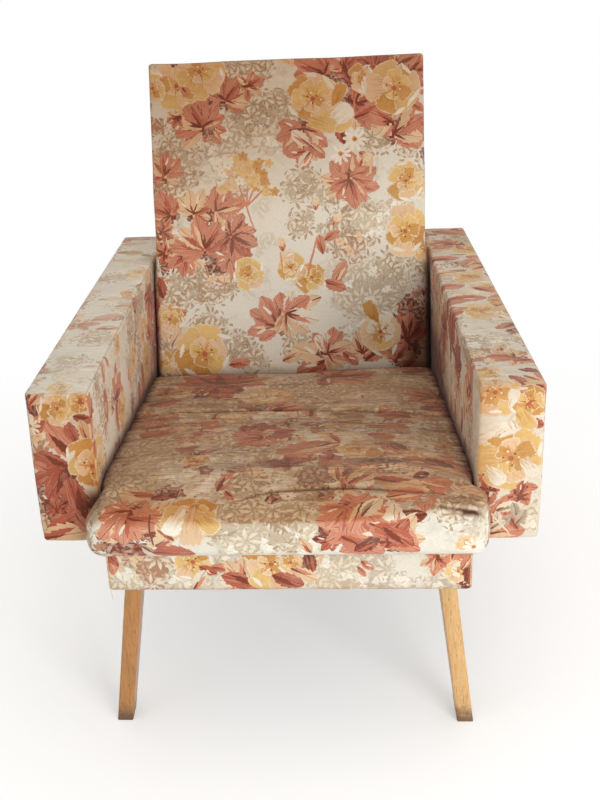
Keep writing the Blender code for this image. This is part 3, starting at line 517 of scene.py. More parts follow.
    def scatter(self, s_range, t_range, pitch=0.052, layers=2):
        """Fills a part that the layouts don't reach with the same motifs. One layer is foliage alone."""
        random = self.random
        columns, rows = (np.arange(low, high + pitch / 2, pitch) for low, high in (s_range, t_range))
        for layer in SCATTER_LAYERS[:layers]:
            for s, t in itertools.product(columns, rows):
                motif = self.pick(layer)
                at = (s + random.uniform(-0.5, 0.5) * pitch, t + random.uniform(-0.5, 0.5) * pitch)
                size, inks = SCATTER_MOTIFS[motif]
                size *= random.uniform(0.75, 1.2)
                ink = self.pick(inks)
                getattr(self, motif)(*at, size, random.uniform(0, TURN), ink)


def print_cloth(mesh, seed, scattered, *layouts):
    """Prints a design on a piece of cotton. Each face keeps the topmost shapes that touch it as attributes, which the
    material draws, and the ink of the shape that they pushed out."""
    design = Design(seed)
    for patch in scattered:
        design.scatter(*patch)
    for layout in layouts:
        design.lay(layout)
    corners = fields_of(mesh.uv_layers["cloth"].data, "uv", width=2)
    start, total = (fields_of(mesh.polygons, name, np.int32) for name in ("loop_start", "loop_total"))
    centre = np.add.reduceat(corners, start, axis=0) / total[:, None]
    reach = np.sqrt(((corners - np.repeat(centre, total, axis=0)) ** 2).sum(1))
    reach = np.maximum.reduceat(reach, start) + EDGE_WANDER
    slots = np.full((SLOTS, len(start)), -1, np.int32)
    over_centre = np.zeros(slots.shape, bool)
    lowest = slots[0].copy()
    for index, shape in enumerate(design.shapes):
        s, t, turn, long, half, _seed, rise, fall, teeth = shape[:9]
        leafy = shape[-1]
        dx, dy = centre[:, 0] - s, centre[:, 1] - t
        c, n = math.cos(turn), math.sin(turn)
        x, y = (dx * c + dy * n) / long, np.abs(dy * c - dx * n)
        pad = reach + LEAFY_EDGE * leafy
        lap = pad / abs(long)
        widest = half * (rise / (rise + fall)) ** rise * (fall / (rise + fall)) ** fall
        near = np.nonzero((x > -lap) & (x < 1 + lap) & (y < widest + pad))[0]
        if not len(near):
            continue
        x, y, pad, lap = x[near], y[near], pad[near], lap[near]
        spans = [half * np.clip(x + k * lap, 1e-4, 0.9999) ** rise * np.clip(1 - x - k * lap, 1e-4, 1) ** fall
                 for k in (-1, -0.5, 0, 0.5, 1)]
        touched = y < np.max(spans, axis=0) + pad
        hidden = (y < np.min(spans, axis=0) * (1 - teeth) - pad) & (x > lap) & (x < 1 - lap) & (leafy == 0)
        hit = near[touched]
        lowest[hit] = np.where(over_centre[-1, hit], slots[-1, hit], lowest[hit])
        slots[1:, hit] = slots[:-1, hit]
        over_centre[1:, hit] = over_centre[:-1, hit]
        slots[0, hit] = index
        over_centre[0, hit] = (y[touched] < spans[2][touched]) & (leafy < 0.6)
        slots[1:, near[touched & hidden]] = -1
        over_centre[1:, near[touched & hidden]] = False
    empty = (0, 0, 0, 1, -1, 0, 1, 1, 0, 0, 0, 0, 0, 0, 0)
    table = np.array([*design.shapes, empty], np.float32)
    stored = {f"{name}_{slot}": table[slots[slot], 3 * part:3 * part + 3]
              for slot in range(SLOTS) for part, name in enumerate(SHAPE_PARTS)}
    stored["lowest"] = table[lowest, 9:12]
    for name, values in stored.items():
        made = mesh.attributes.new(name, "FLOAT_VECTOR", "FACE")
        made.data.foreach_set("vector", np.ascontiguousarray(values).ravel())


# Materials


class Wire:
    """A value in a shader tree that is added, multiplied and so on as a number is."""

    def __init__(self, socket):
        self.socket = socket


def node(kind, *values, tree=None, **choices):
    """Adds a node to the tree of the values, sets its choices, and links or sets its inputs in order."""
    tree = tree or next(value.socket.id_data for value in values if isinstance(value, Wire))
    made = tree.nodes.new("ShaderNode" + kind)
    for name, value in choices.items():
        setattr(made, name, value)
    plug(made, enumerate(values))
    return made


def plug(made, inputs):
    """Links or sets inputs of a node, given as (number or name, value). None leaves an input as it is."""
    for index, value in inputs:
        if isinstance(value, Wire):
            made.id_data.links.new(value.socket, made.inputs[index])
        elif value is not None:
            made.inputs[index].default_value = value


def maths(operation, *values, clamp=False):
    return Wire(node("Math", *values, operation=operation, use_clamp=clamp).outputs[0])


def multiply_add(value, factor, more, clamp=False):
    return maths("MULTIPLY_ADD", value, factor, more, clamp=clamp)


SIGNS = {"add": "ADD", "sub": "SUBTRACT", "mul": "MULTIPLY", "truediv": "DIVIDE", "pow": "POWER"}
for sign, operation in SIGNS.items():
    setattr(Wire, f"__{sign}__", lambda a, b, operation=operation: maths(operation, a, b))
    setattr(Wire, f"__r{sign}__", lambda a, b, operation=operation: maths(operation, b, a))


def vector_maths(operation, *values):
    made = node("VectorMath", tree=values[0].socket.id_data, operation=operation)
    plug(made, ((3 if operation == "SCALE" and index == 1 else index, value) for index, value in enumerate(values)))
    return Wire(made.outputs[1 if operation == "LENGTH" else 0])


def parts_of(vector):
    return [Wire(socket) for socket in node("SeparateXYZ", vector).outputs]


def together(*parts):
    """One vector from three values."""
    return Wire(node("CombineXYZ", *parts).outputs[0])


def mixed(factor, under, over, blend="MIX"):
    """under and over mixed as colours."""
    tree = next(value.socket.id_data for value in (factor, under, over) if isinstance(value, Wire))
    made = node("Mix", tree=tree, data_type="RGBA", blend_type=blend)
    under, over = (value if isinstance(value, Wire) else (*value, 1.0) for value in (under, over))
    plug(made, ((0, factor), (6, under), (7, over)))
    return Wire(made.outputs[2])


def stepped(value, low, high, start=0.0, end=1.0):
    """value taken smoothly from low..high to start..end."""
    return Wire(node("MapRange", value, low, high, start, end, interpolation_type="SMOOTHSTEP").outputs[0])


def noise(vector, scale, detail=2.0, roughness=0.5, distortion=0.0, output="Fac"):
    made = node("TexNoise", vector)
    plug(made, (("Scale", scale), ("Detail", detail), ("Roughness", roughness), ("Distortion", distortion)))
    return Wire(made.outputs[output])


def stretched(vector, factors):
    return vector_maths("MULTIPLY", vector, factors)


def shared_group(name, takes, results):
    """An empty shader node group with the named sockets, and the values it takes."""
    tree = bpy.data.node_groups.new(name, "ShaderNodeTree")
    for in_out, sockets in (("INPUT", takes), ("OUTPUT", results)):
        for socket, kind in sockets.items():
            tree.interface.new_socket(socket, in_out=in_out, socket_type="NodeSocket" + kind)
    return [Wire(socket) for socket in tree.nodes.new("NodeGroupInput").outputs[:len(takes)]]


def gives(*values):
    """Ends the shared group of the values: they are its results, in order."""
    tree = values[0].socket.id_data
    plug(tree.nodes.new("NodeGroupOutput"), enumerate(values))


def use(name, *values):
    """Places a shared group, with its inputs in order."""
    return [Wire(socket) for socket in node("Group", *values, node_tree=bpy.data.node_groups[name]).outputs]


def make_printed_shape():
    """One printed shape over what lies under it."""
    cloth, place, size, form, tint, style, scrolls, under = shared_group(
        "printed_shape",
        {"Cloth": "Vector", "Place": "Vector", "Size": "Vector", "Form": "Vector", "Tint": "Color", "Style": "Vector",
         "Scrolls": "Float", "Under": "Color"},
        {"Colour": "Color"})
    turn = parts_of(place)[2]
    long, half, seed = parts_of(size)
    rise, fall, teeth = parts_of(form)
    veined, streaked, leafy = parts_of(style)
    dx, dy, _ = parts_of(vector_maths("SUBTRACT", cloth, place))
    cosine, sine = maths("COSINE", turn), maths("SINE", turn)
    across = dy * cosine - dx * sine
    part = (dx * cosine + dy * sine) / long
    held = maths("MAXIMUM", maths("MINIMUM", part, 0.9995), 0.0005)
    saw = maths("FRACT", part * 5.0 + seed)
    wide = held ** rise * (1.0 - held) ** fall * half * (1.0 - saw * teeth)
    off_line = maths("ABSOLUTE", across)
    ends = maths("MINIMUM", part, 1.0 - part) * maths("ABSOLUTE", long)
    plain_rim = maths("MINIMUM", wide - off_line, ends)
    rim = plain_rim + (scrolls - 0.45) * leafy * 0.016
    alpha = multiply_add(rim, 2200.0, 0.5, clamp=True)

    grain = noise(together(part * 2.2, across * 420.0, seed), 1.0, 1.0)
    slant = part * 6.0 + grain * 0.8 - off_line * 260.0
    side_ribs = maths("LESS_THAN", maths("FRACT", slant), 0.17)
    veins = side_ribs * 0.18 + stepped(off_line, 0.0003, 0.0009, 0.7, 0.0)
    veins = veins + maths("LESS_THAN", across, 0.0) * 0.12 + stepped(part, 0.0, 0.5, 0.3, 0.0)
    streaks = stepped(grain, 0.46, 0.58) * stepped(part, 0.25, 0.95, 0.85, 0.0)
    dark = maths("ADD", veins * veined, streaks * streaked, clamp=True)
    dark_tint = mixed(1.0, tint, mixed(veined, (0.80, 0.60, 0.36), (0.46, 0.30, 0.26)), "MULTIPLY")
    colour = mixed(dark, tint, dark_tint)

    edge_width = multiply_add(grain, 0.0075, -0.0022)
    lit_rim = stepped(rim - edge_width, 0.0, 0.0006, 0.8, 0.0) * streaked * stepped(part, 0.35, 0.6)
    light = lit_rim + maths("LESS_THAN", grain, 0.43) * veined * 0.16
    inside = leafy * stepped(plain_rim, -0.001, 0.004, 0.12, 0.86)
    light = multiply_add(scrolls, inside, light, clamp=True)
    colour = mixed(light, colour, settings("cloth").cream)
    colour = mixed(stepped(rim, 0.0002, 0.0007, 0.6, 0.0) * streaked, colour, settings("cloth").ochre)
    gives(mixed(alpha, under, colour))


def rosettes(vector, scale, count, twist):
    """Rosettes of pointed leaves, one in each cell: 0 between the leaves, up to 1 near their tips."""
    spread = stretched(vector, (scale, scale, 0.0))
    cells = node("TexVoronoi", spread, voronoi_dimensions="2D")
    cells.inputs["Scale"].default_value = 1.0
    out, position, chance = (Wire(cells.outputs[name]) for name in ("Distance", "Position", "Color"))
    dx, dy, _ = parts_of(vector_maths("SUBTRACT", spread, position))
    angle = maths("ARCTAN2", dy, dx) * count + out * twist + parts_of(chance)[0] * 6.0
    fan = maths("PINGPONG", angle / math.pi, 1.0)
    tips = multiply_add(fan, 0.62, 0.12) - out
    gaps = fan * out * (5.0 / count) - 0.052
    return stepped(maths("MINIMUM", tips, gaps), 0.0, 0.04) * stepped(out, 0.05, 0.45, 0.55, 1.0)


def make_scrolls():
    """Rosettes that fill background foliage and break up its edges, and the cloth map wandering by a millimetre."""
    cloth, = shared_group("scroll_strokes", {"Cloth": "Vector"}, {"Scrolls": "Float", "Wander": "Vector"})
    wander = vector_maths("SUBTRACT", noise(cloth, 65.0, 3.0, 0.6, output="Color"), (0.5, 0.5, 0.5))
    wander = vector_maths("ADD", cloth, stretched(wander, (EDGE_WANDER * 2.2, EDGE_WANDER * 2.2, 0.0)))
    large = rosettes(wander, 34.0, 7.0, 3.0)
    small = rosettes(vector_maths("ADD", wander, (3.3, 1.7, 0.0)), 60.0, 6.0, -4.0)
    gives(maths("MAXIMUM", large, small * 0.45), wander)


def make_weave():
    """Plain weave with thick and thin threads: a tint about 1 and a height in metres."""
    cloth, pitch, relief = shared_group("plain_weave", {"Cloth": "Vector", "Pitch": "Float", "Relief": "Float"},
                                        {"Tint": "Float", "Height": "Float"})
    across, along, _ = parts_of(vector_maths("SCALE", cloth, math.pi / pitch))
    over = maths("SINE", across) * maths("SINE", along)
    slubs = noise(stretched(cloth, (160.0, 1300.0, 1.0)), 1.0) + noise(stretched(cloth, (1300.0, 160.0, 1.0)), 1.0)
    tint = multiply_add(over, 0.025, multiply_add(slubs - 1.0, 0.34, 1.0))
    gives(tint, multiply_add(slubs, 0.8, over * 0.5) * relief)


def make_grime_and_shade():
    """Brown dirt, faded patches, small marks and painted shade over a colour. The brown is partly painted shade."""
    colour, soil, shadow, bleach = shared_group(
        "soil_and_fading", {"Colour": "Color", "Grime_and_shade": "Float", "Shadow": "Float", "Bleach": "Float"},
        {"Colour": "Color", "Roughness": "Float"})
    place = object_place(colour.socket.id_data)
    broad = noise(place, 7.0, 3.0, 0.55)
    fine = noise(stretched(place, (40.0, 130.0, 130.0)), 1.0, 3.0, 0.6)
    faded = multiply_add(bleach, stepped(broad, 0.3, 0.6, 0.55, 1.0), stepped(broad, 0.45, 0.75, 0.0, 0.12), clamp=True)
    colour = mixed(faded, colour, srgb(226, 214, 192))
    brown = maths("MULTIPLY", soil, fine * 0.7 + broad * 0.7 + 0.25, clamp=True)
    colour = mixed(brown, colour, (0.69, 0.50, 0.345), "MULTIPLY")
    marks = stepped(noise(place, 210.0), 0.74, 0.8) * soil
    colour = mixed(marks * 0.5, colour, (0.12, 0.05, 0.03))
    # The shadow input is painted shade: it darkens the colour towards a dark brown
    gives(mixed(shadow, colour, (0.20, 0.075, 0.035), "MULTIPLY"), multiply_add(brown, -0.06, 0.93))


LOOKS = {}


def surface(name):
    """The tree and the Principled shader of a new material, which LOOKS keeps under its own name."""
    made = LOOKS[name] = bpy.data.materials.new(name)
    made.use_nodes = True
    return made.node_tree, made.node_tree.nodes["Principled BSDF"]


def object_place(tree):
    return Wire(node("TexCoord", tree=tree).outputs["Object"])


def cloth_map(tree):
    return Wire(node("UVMap", tree=tree, uv_map="cloth").outputs[0])


def bumpy(height, strength=1.0):
    """A normal with the height's relief."""
    made = node("Bump", strength, 1.0, tree=height.socket.id_data)
    plug(made, (("Height", height),))
    return Wire(made.outputs[0])


def floral_cotton():
    """The printed cotton: ground, printed shapes from the faces' attributes, weave, folds, dirt and painted shade."""
    cloth = settings("cloth")
    tree, shader = surface("floral_cotton")

    def stored(name, output="Fac"):
        return Wire(node("Attribute", tree=tree, attribute_name=name).outputs[output])

    where = cloth_map(tree)
    scrolls, wandered = use("scroll_strokes", where)
    wash = stepped(noise(where, 16.0, 3.0, 0.6, 0.6), 0.50, 0.62) * multiply_add(scrolls, -0.5, 0.55)
    colour = mixed(wash, cloth.ground, cloth.pale)
    lowest = stored("lowest", "Vector")
    colour = mixed(maths("GREATER_THAN", vector_maths("LENGTH", lowest), 0.01), colour, lowest)
    for slot in reversed(range(SLOTS)):
        parts = [stored(f"{name}_{slot}", "Vector") for name in SHAPE_PARTS]
        colour, = use("printed_shape", wandered, *parts, scrolls, colour)
    tint, threads = use("plain_weave", where, cloth.thread_pitch, cloth.thread_relief)
    colour = mixed(1.0, colour, together(tint, tint, tint), "MULTIPLY")
    slack = stored("slack")
    folds = maths("ABSOLUTE", noise(stretched(where, (15.0, 105.0, 1.0)), 1.0, 3.0, 0.5, 0.3) - 0.5)
    # Painted shade in the valleys of the folds
    valley_shade = stepped(folds, 0.0, 0.05, 0.26, 0.0) * slack ** 2.0
    shadow = maths("ADD", stored("shade"), valley_shade, clamp=True)
    colour, rough = use("soil_and_fading", colour, stored("soil"), shadow, stored("bleach"))
    relief = bumpy(multiply_add(folds * slack, 0.011, threads))
    plug(shader, (("Base Color", colour), ("Roughness", rough), ("Normal", relief), ("Sheen Weight", 0.12),
                  ("Sheen Roughness", 0.5), ("Specular IOR Level", 0.25)))


# Plain materials


def make_wood_grain():
    place, light, dark = shared_group("wood_grain", {"Place": "Vector", "Light": "Color", "Dark": "Color"},
                                      {"Colour": "Color", "Height": "Float"})
    rings = stepped(maths("FRACT", noise(place, 1.0, 3.0, 0.55, 1.2) * 7.0), 0.25, 0.95)
    fine = noise(stretched(place, (9.0, 9.0, 3.0)), 1.0, 3.0, 0.6)
    darker = multiply_add(rings, 0.45, stepped(fine, 0.48, 0.7, 0.0, 0.5), clamp=True)
    gives(mixed(darker, light, dark), fine * 0.0002)


def wood(name, light, dark, scale, roughness, coat=0.0, grime=0.0):
    """Wood with its grain along the smallest number in scale. grime darkens the lowest part, near the floor."""
    tree, shader = surface(name)
    where = object_place(tree)
    colour, height = use("wood_grain", stretched(where, scale), (*light, 1.0), (*dark, 1.0))
    rough = multiply_add(noise(where, 60.0), 0.25, roughness - 0.12)
    if grime:
        z = parts_of(where)[2]
        foot = stepped(multiply_add(noise(where, 85.0, 3.0, 0.65), -0.05, z), -0.022, 0.012, 1.0, 0.0)
        scuffs = stepped(noise(stretched(where, (150.0, 150.0, 900.0)), 1.0, 2.0, 0.6), 0.60, 0.66)
        scuffs = scuffs * stepped(z, 0.02, 0.10, 0.9, 0.12)
        marks = stepped(noise(stretched(where, (300.0, 300.0, 60.0)), 1.0, 1.0), 0.68, 0.72)
        colour = mixed(marks * 0.45, colour, srgb(104, 70, 40))
        colour = mixed(scuffs * 0.6, colour, srgb(96, 66, 42))
        colour = mixed(foot * grime, colour, settings("wood").dirt)
        rough = multiply_add(foot, 0.3, rough)
    plug(shader, (("Base Color", colour), ("Roughness", rough), ("Normal", bumpy(height, 0.6)), ("Coat Weight", coat),
                  ("Coat Roughness", 0.35)))


def coarse_cloth(name, light, dark, pitch, relief, map_of=object_place):
    """Open or felted cloth: jute, dust cloth, wadding."""
    tree, shader = surface(name)
    where = map_of(tree)
    tint, height = use("plain_weave", where, pitch, relief)
    colour = mixed(stepped(noise(where, 22.0, 4.0, 0.6), 0.35, 0.65), light, dark)
    colour = mixed(1.0, colour, together(tint, tint, tint), "MULTIPLY")
    plug(shader, (("Base Color", colour), ("Normal", bumpy(height)), ("Roughness", 0.93)))


def speckled(name, light, dark, scale, roughness, relief, metallic=0.0):
    """Chips, fibres, foam cells or rust, as two colours in patches over fine specks."""
    tree, shader = surface(name)
    where = object_place(tree)
    specks = noise(where, scale, 3.0, 0.7)
    patches = stepped(noise(where, scale / 14, 3.0, 0.6), 0.45, 0.65, 0.0, 0.4)
    both = multiply_add(stepped(specks, 0.42, 0.62), 0.6, patches, clamp=True)
    if metallic:
        roughness = multiply_add(both, 0.35, roughness)
        plug(shader, (("Metallic", multiply_add(both, -0.7, metallic)),))
    plug(shader, (("Base Color", mixed(both, light, dark)), ("Normal", bumpy(specks * relief)),
                  ("Roughness", roughness)))


def make_materials():
    for make in (make_scrolls, make_printed_shape, make_weave, make_grime_and_shade, make_wood_grain, floral_cotton):
        make()
    legs = settings("wood")
    wood("varnished_beech", legs.honey, srgb(150, 96, 46), (70.0, 70.0, 5.0), 0.42, 0.5, 0.9)
    # Painted light: the same beech made lighter for the front right leg
    wood("varnished_beech_painted_lit", legs.light, srgb(190, 138, 80), (70.0, 70.0, 5.0), 0.45, 0.4, 0.85)
    for name, scale in (("across", (4.0, 55.0, 55.0)), ("along", (55.0, 4.0, 55.0)), ("up", (55.0, 55.0, 4.0))):
        wood("raw_pine_" + name, srgb(214, 184, 138), srgb(170, 128, 82), scale, 0.75)
    speckled("chipboard", srgb(206, 180, 138), srgb(138, 106, 70), 420.0, 0.85, 0.0003)
    speckled("hardboard", srgb(128, 92, 62), srgb(96, 66, 44), 700.0, 0.7, 0.0002)
    speckled("yellowed_foam", srgb(232, 212, 158), srgb(206, 172, 104), 900.0, 0.95, 0.0008)
    coarse_cloth("grey_wadding", srgb(214, 210, 202), srgb(178, 174, 168), 0.0031, 0.0009)
    coarse_cloth("jute_hessian", srgb(190, 156, 108), srgb(146, 112, 70), 0.0026, 0.0006)
    coarse_cloth("dust_cloth", srgb(64, 60, 58), srgb(92, 84, 76), 0.0011, 0.0001, cloth_map)
    coarse_cloth("cotton_thread", srgb(226, 216, 196), srgb(204, 190, 166), 0.0004, 0.00005)
    speckled("dull_steel", srgb(150, 148, 144), srgb(120, 74, 46), 500.0, 0.42, 0.0001, metallic=0.95)


# Finishes of the frame

FINISHES = {
    "raw_pine_across": ("front_rail", "rear_rail", "back_top_rail", "back_lower_rail"),
    "raw_pine_along": ("side_rail", "arm_top_batten"),
    "raw_pine_up": ("back_stile", "arm_front_batten", "arm_rear_batten"),
    "chipboard": ("arm_inner_board", "arm_outer_board"),
    "hardboard": ("back_board",),
    "yellowed_foam": ("back_foam",),
    "grey_wadding": ("arm_wadding",),
    "jute_hessian": ("seat_hessian",),
    "dull_steel": ("arm_screw", "back_screw", "leg_screw", "seat_spring", "spring_clip"),
}


def finish_frame():
    """Gives each frame node that stays in sight the look that its name starts with."""
    for name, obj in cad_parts.items():
        for look, starts in FINISHES.items():
            if name.startswith(starts):
                for slot in obj.material_slots:
                    slot.material = LOOKS[look]


# Meshes

TINY = 1e-9
# The close rows of cells at both ends of a cover: their size and how many
END_CELL = 0.0022
END_CELLS = 4
# Where the cloth map of a block's lowest face lies
HIDDEN_FACE = 2.0


def grid_lines(low, high, cell, end_cell=END_CELL):
    """Places of grid lines from low to high, closer together near both ends."""
    run = end_cell * np.arange(END_CELLS + 1)
    count = max(1, round((high - low - 2 * run[-1]) / cell))
    inner = np.linspace(low + run[-1], high - run[-1], count + 1)
    return np.concatenate([low + run[:-1], inner, high - run[:-1][::-1]])


def graded_lines(low, high, cell, *dense):
    """Grid lines that stand closer round each (centre, reach, times) of dense."""
    ends = grid_lines(low, high, cell)
    at = np.linspace(ends[END_CELLS], ends[-1 - END_CELLS], 4000)
    density = np.ones(len(at)) / cell
    for centre, reach, times in dense:
        density += (times - 1) / cell * bell(at - centre, reach)
    run = np.concatenate([[0], np.cumsum(0.5 * (density[1:] + density[:-1]) * np.diff(at))])
    inner = np.interp(np.linspace(0, run[-1], round(run[-1]) + 1), run, at)
    return np.concatenate([ends[:END_CELLS], inner, ends[-END_CELLS:]])


def fields_of(items, name, kind=np.float32, width=1):
    """One field of all the items of a mesh, in rows where it has a width."""
    values = np.zeros(len(items) * width, kind)
    items.foreach_get(name, values)
    return values if width == 1 else values.reshape(-1, width).astype(float)


def points_of(mesh):
    return fields_of(mesh.vertices, "co", width=3)


def move_points(mesh, co):
    mesh.vertices.foreach_set("co", np.ascontiguousarray(co, np.float32).ravel())
    mesh.update()


def mesh_from(bm, name):
    mesh = bpy.data.meshes.new(name)
    bm.to_mesh(mesh)
    bm.free()
    return mesh


def put_cloth_map(mesh, places):
    """Stores the cloth map's point for each corner of each face."""
    layer = mesh.uv_layers.new(name="cloth")
    layer.data.foreach_set("uv", np.ascontiguousarray(places, np.float32).ravel())


def cloth_block(name, *lines):
    """A closed block of quads with grid lines at the given places across, along and through. Its cloth map is the
    block unfolded as a cross round the face at the highest z. The face at the lowest z lies beside the cross."""
    bm = bmesh.new()
    bmesh.ops.create_cube(bm, size=1.0)
    for axis, places in enumerate(lines):
        edges = [e for e in bm.edges if abs(e.verts[0].co[axis] - e.verts[1].co[axis]) > 0.9]
        bmesh.ops.subdivide_edges(bm, edges=edges, cuts=len(places) - 2, use_grid_fill=True)
    mesh = mesh_from(bm, name)
    co = points_of(mesh)
    for axis, places in enumerate(lines):
        co[:, axis] = np.interp(co[:, axis] + 0.5, np.linspace(0, 1, len(places)), places)
    facing = np.round(fields_of(mesh.polygons, "normal", width=3))
    facing = np.repeat(facing, fields_of(mesh.polygons, "loop_total", np.int32), axis=0)
    at = co[fields_of(mesh.loops, "vertex_index", np.int32)]
    drop = lines[2][-1] - at[:, 2:]
    put_cloth_map(mesh, at[:, :2] + facing[:, :2] * drop + (facing[:, 2:] < 0) * (HIDDEN_FACE, 0))
    move_points(mesh, co)
    return mesh, co


def rounded(co, low, high, radii_low, radii_high):
    """The block's points with its edges rounded. Radii are three numbers or columns for each end of each axis."""
    below = np.stack(np.broadcast_arrays(*radii_low, co[:, 0])[:3], 1)
    above = np.stack(np.broadcast_arrays(*radii_high, co[:, 0])[:3], 1)
    inner = np.clip(co, np.array(low) + below, np.array(high) - above)
    offset = co - inner
    part = offset / np.maximum(np.where(offset < 0, below, above), TINY)
    size = np.linalg.norm(part, axis=1)
    return inner + offset * np.where(size > TINY, np.abs(part).max(1) / np.maximum(size, TINY), 1.0)[:, None]


def round_corner(co, radius, *faces):
    """Rounds one upright corner of a block, between two faces that are given as an axis, a direction and a reach."""
    past_by = [way * co[:, axis] - (reach - radius) for axis, way, reach in faces]
    inside = (past_by[0] > 0) & (past_by[1] > 0)
    kept = np.where(inside, np.maximum(*past_by) / np.maximum(np.hypot(*past_by), TINY), 1.0)
    for (axis, way, _reach), past in zip(faces, past_by):
        co[:, axis] += way * past * (kept - 1)


def value_noise(points, seed):
    """Smooth noise from -1 to 1 for points in noise cells, from a seeded lattice."""
    table = np.random.default_rng(seed).uniform(-1, 1, (64, 64, 64))
    base = np.floor(points).astype(int)
    part = points - base
    part = part * part * (3 - 2 * part)
    total = 0
    for corner in range(8):
        step = np.array([corner & 1, corner >> 1 & 1, corner >> 2])
        at = (base + step) % 64
        total = total + np.prod(np.where(step, part, 1 - part), axis=1) * table[at[:, 0], at[:, 1], at[:, 2]]
    return total


def ripples(seed, x, y, z=0.0, start=20):
    """Smooth noise from columns in noise cells. start keeps them clear of the lattice's edge."""
    return value_noise(np.stack(np.broadcast_arrays(x, y, z), 1) + start, seed)


def wear_and_shade(mesh, **amounts):
    """Stores each point's dirt (partly painted shade), painted shade, slack and bleach for the cotton's material."""
    for name, values in amounts.items():
        made = mesh.attributes.new(name, "FLOAT", "POINT")
        made.data.foreach_set("value", np.broadcast_to(values, len(mesh.vertices)).astype(np.float32))


def linked(name, data):
    obj = bpy.data.objects.new(name, data)
    bpy.context.scene.collection.objects.link(obj)
    return obj


def piece(mesh, slot, *replaced, look=None):
    """Links a finished mesh as a piece of the chair that stands for CAD nodes, or for none."""
    mesh.materials.append(LOOKS[look or slot])
    obj = linked(mesh.name, mesh)
    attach(obj, "root")
    if replaced:
        mesh.shade_smooth()
        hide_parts(*replaced)
    return obj


def thicken(obj, thickness, offset):
    solid = obj.modifiers.new("Cloth", "SOLIDIFY")
    solid.thickness = thickness
    solid.offset = offset


def bevelled(bm, edges, offset, segments):
    bmesh.ops.bevel(bm, geom=edges, offset=offset, affect="EDGES", segments=segments, profile=0.5, material=-1)


# Frames that the filling presses for, and how the cotton behaves
PRESS_FRAMES = 16
COTTON = {"quality": 6, "mass": 0.3, "tension_stiffness": 12, "compression_stiffness": 12, "shear_stiffness": 4,
          "bending_stiffness": 0.4, "use_pressure": True, "vertex_group_mass": "held"}


def pressed(mesh, start, held, rest):
    """Points after the cotton is blown out by its filling as simulated cloth. rest is the cotton's own cut."""
    copy = mesh.copy()
    obj = linked("pressed", copy)
    obj.shape_key_add(name="Basis")
    cut = obj.shape_key_add(name="cut")
    cut.data.foreach_set("co", np.ascontiguousarray(rest, np.float32).ravel())
    group = obj.vertex_groups.new(name="held")
    for index in np.nonzero(held > 0)[0]:
        group.add([int(index)], float(held[index]), "REPLACE")
    cloth = obj.modifiers.new("Cotton", "CLOTH")
    for name, value in COTTON.items():
        setattr(cloth.settings, name, value)
    cloth.settings.uniform_pressure_force = settings("seat").pressure
    cloth.settings.effector_weights.gravity = 0
    cloth.settings.rest_shape_key = cut
    cloth.collision_settings.use_collision = False
    for step in range(1, PRESS_FRAMES + 1):
        bpy.context.scene.frame_set(step)
    moved = points_of(obj.evaluated_get(bpy.context.evaluated_depsgraph_get()).data) - start
    bpy.context.scene.frame_set(1)
    bpy.data.objects.remove(obj)
    bpy.data.meshes.remove(copy)
    far = np.linalg.norm(moved, axis=1, keepdims=True)
    return start + moved * np.minimum(1.0, settings("seat").swell / np.maximum(far, TINY))


# The back

# Parts of each cover that the layouts don't reach: along, across, and for some the pitch and the layers
BACK_SCATTER = (((-0.36, -0.27), (0.0, 0.62)), ((0.27, 0.36), (0.0, 0.62)), ((-0.26, 0.26), (0.61, 0.70)),
                ((1.72, 2.28), (-0.02, 0.62)))


